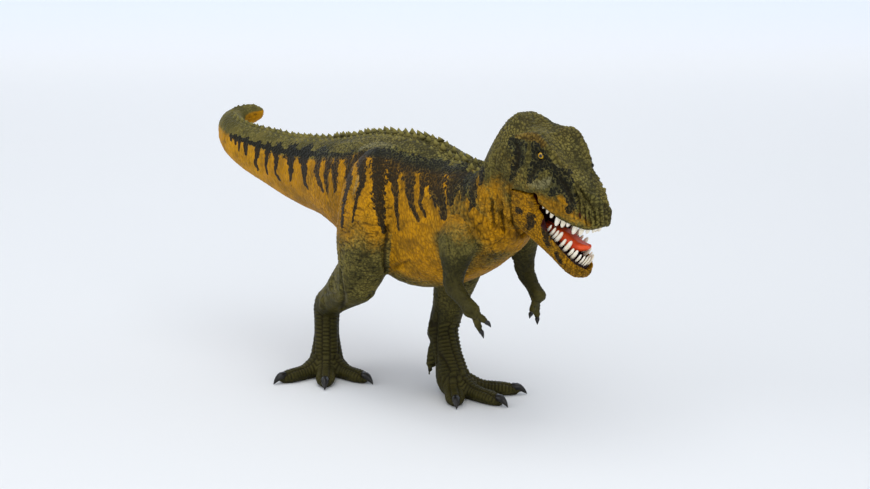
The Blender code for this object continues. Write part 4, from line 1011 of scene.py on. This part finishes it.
def limb_folds(skin, labels):
    """Folds and cross plates of the limbs: height in metres and how far they replace the scales."""
    rise = np.zeros(len(skin.points))
    share = np.zeros(len(skin.points))
    wobble = drift(skin.base, 3.0 * MM, 21) * 0.35 + drift(skin.base, 1.2 * MM, 22) * 0.12
    for limb, bones in LIMB_BONES.items():
        index = np.flatnonzero(labels == limb)
        where = skin.base[index]
        gaps, places, axes = [], [], []
        for start, end, *_ in bones:
            start, end = np.array(start) * MM, np.array(end) * MM
            length = np.linalg.norm(end - start)
            axes.append((end - start) / length)
            along = (where - start) @ axes[-1]
            held = np.clip(along, 0, length)[:, None] * axes[-1]
            gaps.append(np.linalg.norm(where - start - held, axis=1))
            places.append(along)
        nearest = np.argmin(gaps, axis=0)
        for k, (start, _, front, spacing, depth, column) in enumerate(bones):
            mine = nearest == k
            here = index[mine]
            phase = places[k][mine] / (spacing * MM) + wobble[here] * (0.3 if column else 1.0)
            if not column:
                wave = np.abs(np.sin(math.pi * phase))
                rise[here] = (wave ** 0.6 - 0.6) * depth * MM
                share[here] = 0.25
                continue
            front = np.array(front) - axes[k] * np.dot(front, axes[k])
            front /= np.linalg.norm(front)
            side = np.cross(axes[k], front)
            across = (skin.base[here] - np.array(start) * MM) @ side / (column * MM)
            lane = np.round(across)
            cell = (phase + lane * 0.5) % 1
            plate = (1 - np.abs(2 * cell - 1) ** 2.5) * (1 - np.abs(2 * (across - lane)) ** 5)
            facing = ramp(skin.normals[here] @ front, -0.2, 0.3)
            rise[here] = (plate - 0.55) * depth * MM * facing
            share[here] = facing
    return rise, share


def winding_lines(points, stretch, size, salt):
    """Fine winding wrinkles, longest where the stretch is small: 1 in a line and 0 between them."""
    points = points * np.array(stretch)
    wave = drift(points, size, salt) + 0.35 * drift(points, size * 0.45, salt + 60)
    return np.exp(-(wave / WRINKLE_SHARPNESS) ** 2)


def figure_skin():
    """The whole painted skin of trunk, tail, head and limbs, before it is split by moulding."""
    nodes = ["trunk_shell_right", "trunk_shell_left", "tail", "head", "leg_right", "leg_left",
             "arm_right", "arm_left"]
    skin = Skin(nodes, SKIN_VOXEL, CREASE_CLOSING, [cheek_pad(-1), cheek_pad(1)])
    points, triangles = solid_faces(nodes)
    owners = np.concatenate([[name] * len(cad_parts[name].data.loop_triangles)
                             for name in nodes])
    solid = BVHTree.FromPolygons(points.tolist(), triangles.tolist())
    labels = np.array([owners[solid.find_nearest(point)[2]] for point in skin.base.tolist()])
    return skin, labels


def scaled_relief(skin, net, height, tone):
    """Raise the domes of a net of scales and note its grooves, its tops and its tones."""
    dome = np.clip(net * 2.6, 0, 1) ** 0.5
    skin.raise_by((dome - 0.6) * height)
    skin.fields["groove"] = 1 - np.clip(net * 3.0, 0, 1)
    skin.fields["tone"] = tone
    return dome


def carve(skin, labels):
    """The larger forms: crown, brow, snout, folds of the neck, creases of trunk and legs."""
    forward, _, up = in_axes(skin.base, SKULL_FRAME)
    crest = np.interp(forward, *zip(*CROWN_PROFILE)) * ramp(up, 14, 21) * (labels == "head")
    skin.points += np.outer(crest * MM, np.array(SKULL_FRAME.col[2].xyz))
    skin.shape(HEAD_FORMS, head=True)
    skin.shape(NECK_FORMS)
    skin.shape(TRUNK_FORMS)
    skin.shape(LEG_FORMS, mirror=False)
    skin.renew_normals()


def dress(skin, labels):
    """Sculpt the skin and paint it."""
    head, tail = labels == "head", labels == "tail"
    trunk = np.isin(labels, ["trunk_shell_right", "trunk_shell_left"])
    legs = np.isin(labels, ["leg_right", "leg_left"])
    arms = np.isin(labels, ["arm_right", "arm_left"])
    forward, aside, up = in_axes(skin.base, SKULL_FRAME)
    carve(skin, labels)

    # scales: large on back and crown, long on the flanks, small elsewhere
    x, y, z = skin.base.T / MM
    back = ramp(z - np.interp(x, *zip(*FLANK_LINE)), -1.5, 3)
    crown = np.where(head, ramp(up, 8, 13), 0)
    folds, folded = limb_folds(skin, labels)
    coarse = np.where(head, 0.2 + 0.8 * crown, np.where(trunk | tail, back, 0)) > 0.5
    zones = [coarse, (trunk | tail) & ~coarse]
    nets = [scales(skin.base, BACK_SCALE, 3),
            scales(skin.base * np.array([1, 1, 0.5]), FLANK_SCALE, 4),
            scales(skin.base, LIMB_SCALE, 5)]
    net, tone = (np.select(zones, [nets[0][k], nets[1][k]], nets[2][k]) for k in (0, 1))
    height = np.select(zones, RELIEF[:2], RELIEF[2]) + crown * CROWN_RELIEF
    dome = scaled_relief(skin, net, height * (1 - 0.75 * folded), tone)

    # winding wrinkles: upright on chest and throat, level round the limbs
    chest = np.where(trunk, (0.35 + 0.65 * ramp(x, 35, 60)) * (1 - back), 0)
    chest = np.where(head & (forward < -4) & (up < 4), 0.9, chest)
    upright = winding_lines(skin.base, (1, 1, 0.3), CHEST_WRINKLE, 9) * chest
    limb = np.where(legs, 1.3 * ramp(z, 26, 40), 0) * ramp(-z, -90, -70) + np.where(arms, 0.9, 0)
    level = winding_lines(skin.base, (0.3, 0.3, 1), LIMB_WRINKLE, 10) * limb
    skin.raise_by(folds - upright * CHEST_WRINKLE_DEPTH - level * LIMB_WRINKLE_DEPTH)

    # wash and painted shade in grooves and creases, light tone and painted highlights on high
    # places
    skin.fields["groove"] *= (1 - 0.6 * folded) * np.where(tail, 0.4, 1)
    edge = np.abs(behind_cheek(forward, up))
    near_edge = head & (np.abs(aside) > 8.5) & (np.hypot(forward, up) < CHEEK_RADIUS + 1)
    # painted shade: darker in the folds, the wrinkles and along the cheek's edge
    for deep in (ramp(-folds / MM, 0.03, 0.18) * 0.85, upright * 0.75,
                 np.clip(level * 0.62, 0, 0.8),
                 np.where(near_edge, 0.4 * ramp(-edge, -0.4, -0.05), 0)):
        skin.fields["shaded_crease"] = np.maximum(skin.fields["shaded_crease"], deep)
    # lighter scale tops, raised folds, thighs and tail side: dry-brushing that also paints
    # highlights
    skin.fields["top"] = np.clip(
        dome * 0.6 * (1 - folded) + drift(skin.base, 5 * MM, 41) * 0.25
        + np.clip(folds / MM * 3, 0, 0.7) + np.where(legs & (z > 46), 0.15, 0)
        + np.where(tail, 0.45 * ramp(-x, 30, 80) * (1 - back), 0), 0, 1)

    # olive from above and from the feet upward, with soft patches; ochre left on the flanks
    patchy = drift(skin.base, 6 * MM, 31) * 0.2
    leg_olive = np.maximum(ramp(-z, -76, -46), back) + patchy * 0.8 + ramp(-z, -44, -14) * 0.9
    shoulder = np.hypot(x - 61, (z - 62) * 0.6)
    shade = ramp(-z, -80, -60) * ramp(-shoulder, -15, -7) * ramp(-np.abs(z - 56), -26, -18)
    shade = shade * ramp(np.abs(y - MIDDLE_PLANE / MM), 6, 12)
    arm_olive = shade + ramp(-z, -66, -58) * 0.5 + patchy + ramp(-z, -60, -48) * 0.9
    flank_olive = np.maximum(back, 0.7 * ramp(-z, -54, -43)) + patchy * 0.5
    flank_olive = np.maximum(flank_olive, np.maximum(0.48 * ramp(x, 42, 60), shade * 0.9) + patchy)
    skin.fields["olive"] = np.select([head, trunk, tail, legs, arms],
                                     [patchy + 0.9, flank_olive, back, leg_olive, arm_olive])
    skin.paint("mark", STRIPES)
    skin.paint("mark", HEAD_MARKS, head=True)
    skin.paint("orange", BROW_BAND, head=True)
    skin.paint("pale", PALE_CHEEK, head=True)
    # painted highlight on the hip, in the pale coat
    skin.paint("pale", PALE_FLANK_HIGHLIGHT)
    skin.paint("ochre", LIP_BAND, head=True, value=0.40)
    skin.paint("ochre", NECK_OCHRE, value=0.42)
    ahead, _, above = skin.normals.T
    curl = ramp(y, 9, 12) * ramp(ahead, 0, 0.4) * ramp(-above, -0.55, -0.1)
    ochre = np.maximum(skin.fields.pop("ochre"), np.where(tail & (x < -98), curl, 0))
    skin.fields["olive"] -= np.clip(ochre, 0, 1)

    # dark lining of palate and throat
    facing = skin.normals @ np.array(SKULL_FRAME.to_3x3())
    inward = (facing[:, 1] * np.sign(aside) < 0.3) & (facing[:, 0] < 0.5)
    roof = (inward & (np.abs(aside) < row_half(UPPER_ROW, forward) + 1.9)
            & (forward > 3) & (forward < 29) & (up < 7) & (up > -9))
    throat = (np.abs(aside) < 7.65) & (forward > -1) & (forward < 7) & (up > -5.5) & (up < 6)
    skin.fields["lining"] = (head & (roof | throat)).astype(float)
    skin.renew_normals()


def jaw_skin(material):
    """Skin of the lower jaw, drawn in where the cheek runs over it."""
    skin = Skin(["lower_jaw"], JAW_VOXEL, JAW_CLOSING)
    forward, aside, up = in_axes(skin.points, SKULL_FRAME)
    hidden = ramp(behind_cheek(forward, up), -JAW_TUCK_MARGIN - 0.4, -JAW_TUCK_MARGIN)
    hidden = np.where(np.hypot(forward, up) < CHEEK_RADIUS + 1, hidden, 0)
    over_slit = up - np.interp(forward, *zip(*MOUTH_SLIT))
    slit = ramp(over_slit, -0.25, 0.25) * ramp(forward, MOUTH_SLIT[0][0] - 0.8, MOUTH_SLIT[0][0])
    limit = JAW_FREE - (JAW_FREE - JAW_TUCK) * hidden - (JAW_FREE - SLIT_TUCK) * slit
    depth = np.minimum(np.abs(aside), np.maximum(limit, SLIT_TUCK)) * np.sign(aside)
    skin.points += np.outer((depth - aside) * MM, np.array(SKULL_FRAME.col[1].xyz))
    forward, aside, up = in_axes(skin.points, JAW_FRAME)
    drop = JAW_RIM_DROP * ramp(up, -7.5, 0) * ramp(forward, 9, 17)
    skin.points -= np.outer(drop * MM, np.array(JAW_FRAME.col[2].xyz))
    skin.settle()
    skin.shape(JAW_FORMS, head=True)
    skin.renew_normals()

    net, tone = scales(skin.base, LIMB_SCALE, 12)
    dome = scaled_relief(skin, net, JAW_RELIEF, tone)
    # lighter on the tops of the scales: dry-brushing that also paints their highlights
    skin.fields["top"] = dome * 0.6
    skin.paint("mark", JAW_MARKS, head=True)
    # painted shade on the jaw where the cheek runs over it
    np.maximum(skin.field("shaded_crease"), hidden * 0.45, out=skin.field("shaded_crease"))
    forward, aside, up = in_axes(skin.base, JAW_FRAME)
    inside = (np.abs(aside) < row_half(LOWER_ROW, forward) + 1.25) & (forward < 31.2) & (up > -6.1)
    # the slit above the mouth corner takes the dark lining too, as painted shade of the open mouth
    skin.fields["lining"] = np.maximum((inside & (up < 3.2)).astype(float), slit)
    for key in PAINTED_FIELDS:
        skin.field(key)
    skin.renew_normals()
    piece("lower_jaw_skin", skin.points, skin.quads.tolist(), material, "jaw", "skin_yellow",
          ["lower_jaw"], skin.fields, skin.normals)


def mouth():
    """Both rows of teeth in their gums, and the tongue."""
    # glazed ivory enamel: bright teeth that pick up a small highlight each
    ivory = mottled_finish("ivory_tooth_gloss", "#F8F2E4", "#EADFC4", 0.30, 2.5 * MM)
    # thinned enamel, soaked in: gums so dark that the teeth stand out
    maroon = mottled_finish("maroon_gum_gloss", "#150605", "#260A07", 0.55, 1.5 * MM, 0.15)
    # brushed gloss enamel: a wet orange-red tongue
    red = mottled_finish("red_tongue_gloss", "#EE5A26", "#D4441A", 0.35, 3.0 * MM, 0.3)
    for teeth, gum, tips, axes, row, root, gum_height, lean, node, body in (
            ("upper_teeth", "upper_gum", UPPER_TIPS, SKULL_FRAME, UPPER_ROW, UPPER_ROOT,
             UPPER_ROOT + 0.5, 0.25, "upper_tooth_row", "figure"),
            ("lower_teeth", "lower_gum", LOWER_TIPS, JAW_FRAME, LOWER_ROW, LOWER_ROOT,
             LOWER_ROOT - 0.5, 0.15, "lower_tooth_row", "jaw")):
        shapes = joined(tooth_row(tips, axes, row, root, lean))
        piece(teeth, *shapes, ivory, body, "tooth_ivory", [node])
        piece(gum, *gum_strip(axes, row, gum_height), maroon, body, "tongue_red", [node])
    piece("tongue_painted", *tongue_shape(), red, "jaw", "tongue_red", ["tongue"])


def split_skin(skin, labels, material):
    """One piece for each moulding, with the normals of the whole skin so that no seam shows."""
    face_labels = labels[skin.quads[:, 0]]
    for name, slot, nodes in (
            ("trunk_skin", "skin_ochre", ["trunk_shell_right", "trunk_shell_left"]),
            ("tail_skin", "skin_ochre", ["tail"]), ("head_skin", "skin_olive", ["head"]),
            ("leg_right_skin", "skin_olive", ["leg_right"]),
            ("leg_left_skin", "skin_olive", ["leg_left"]),
            ("arm_right_skin", "skin_olive", ["arm_right"]),
            ("arm_left_skin", "skin_olive", ["arm_left"])):
        faces = skin.quads[np.isin(face_labels, nodes)]
        used, renumbered = np.unique(faces, return_inverse=True)
        piece(name, skin.points[used], renumbered.reshape(faces.shape).tolist(), material, "figure",
              slot, nodes, {key: values[used] for key, values in skin.fields.items()},
              skin.normals[used])


def shows_background(tree):
    """1 for the rays that see the background: the camera's, and those by way of gloss and glass."""
    rays = add(tree, "LightPath").node.outputs
    seen = add(tree, "Math", [rays["Is Camera Ray"], rays["Is Glossy Ray"]], operation="MAXIMUM")
    return add(tree, "Math", [seen, rays["Is Transmission Ray"]], operation="MAXIMUM")


def paper_sweep(away):
    """Matt background paper: a pale floor that curves up into a backdrop and shows soft shadows."""
    across = Vector((away.y, -away.x, 0))
    rows = [-away * PAPER_FRONT, away * PAPER_BACK]
    rows += [away * (PAPER_BACK + PAPER_CURVE * math.sin(a))
             + Vector((0, 0, PAPER_CURVE * (1 - math.cos(a))))
             for a in (math.pi / 2 * k / 12 for k in range(1, 13))]
    rows.append(rows[-1] + Vector((0, 0, PAPER_WALL)))
    points = [row + across * side for row in rows for side in (-PAPER_HALF, PAPER_HALF)]
    mesh = bpy.data.meshes.new("paper_sweep")
    mesh.from_pydata(points, [], [(k, k + 1, k + 3, k + 2) for k in range(0, len(points) - 2, 2)])
    mesh.shade_smooth()
    paper, tree, shader, place = blank_material("matt_background_paper", specular=0.1)
    shader["Roughness"].default_value = 0.9
    height = add(tree, "SeparateXYZ", [place], out=2)
    share = add(tree, "MapRange", [height, 0, 0.05], interpolation_type="SMOOTHSTEP")
    tone = add(tree, "Mix", {0: share, 6: linear("#E7E9EA"), 7: linear("#DDE4F1")}, out=2,
               data_type="RGBA")
    # far behind the figure the paper itself shows brighter, as the photo's background does
    behind = add(tree, "VectorMath", [place, away], out="Value", operation="DOT_PRODUCT")
    glow = add(tree, "MapRange", [behind, 0, PAPER_GLOW_FULL, 0, PAPER_GLOW])
    glow = add(tree, "Math", [shows_background(tree), glow], operation="MULTIPLY")
    tree.links.new(tone, shader["Base Color"])
    tree.links.new(tone, shader["Emission Color"])
    tree.links.new(glow, shader["Emission Strength"])
    mesh.materials.append(paper)
    floor = placed("paper_sweep", mesh)


def studio():
    """Pale paper, soft lights and the camera at the photograph's angle."""
    scene = bpy.context.scene
    scene.view_settings.view_transform = "Standard"
    world = bpy.data.worlds.new("studio_air")
    scene.world = world
    world.use_nodes = True
    tree = world.node_tree
    air = tree.nodes["Background"].inputs
    air["Color"].default_value = linear("#EEF2FA")
    strength = add(tree, "MapRange", [shows_background(tree), 0, 1, AIR_LIGHT, AIR_SEEN])
    tree.links.new(strength, air["Strength"])
    paper_sweep(Vector((-CAMERA_BACK.x, -CAMERA_BACK.y, 0)).normalized())

    for name, place, size, power in SOFTBOXES:
        light = bpy.data.lights.new(name, "AREA")
        light.shape = "SQUARE"
        light.size = size
        light.energy = power
        lamp = placed(name, light)
        lamp.location = place
        aim = LIGHT_TARGET - Vector(place)
        lamp.rotation_euler = aim.to_track_quat("-Z", "Y").to_euler()

    camera = bpy.data.cameras.new("camera")
    camera.sensor_width = SENSOR_WIDTH
    camera.lens = FOCAL_PIXELS / PICTURE_WIDTH * SENSOR_WIDTH
    camera.clip_start = 0.01
    holder = placed("camera", camera)
    holder.location = CAMERA_PLACE
    holder.rotation_euler = (-CAMERA_BACK).to_track_quat("-Z", "Y").to_euler()
    scene.camera = holder


studio()
# Each paint has its ochre, its olive and the strength of the wash and painted shade in its grooves
body_paint = painted_vinyl("painted_vinyl_body", ("#B57E04", "#8E640A"), OLIVE, 0.46)
skin, labels = figure_skin()
dress(skin, labels)
split_skin(skin, labels, body_paint)
back_scutes(skin, body_paint)
jaw_skin(painted_vinyl("painted_vinyl_jaw", ("#A67404", "#7E5A0E"), OLIVE, 0.80))
mouth()
eyeballs(skin)
# Black gloss enamel, brushed on: dark claws with a small sheen
black = mottled_finish("black_claw_gloss", "#0C0A08", "#1C1A15", 0.32, 1.5 * MM, 0.3)
claws = joined(claw_shape(*claw) for claw in CLAWS)
piece("claws", *claws, black, "figure", "skin_olive")
# Bright drawn steel: a plain grey pin, seen only where the jaw is taken off
steel = mottled_finish("drawn_steel_pin", "#8C8D8F", "#77787A", 0.35, 0.8 * MM)
steel.node_tree.nodes["Principled BSDF"].inputs["Metallic"].default_value = 1
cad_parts["jaw_pin"].data.materials.clear()
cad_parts["jaw_pin"].data.materials.append(steel)
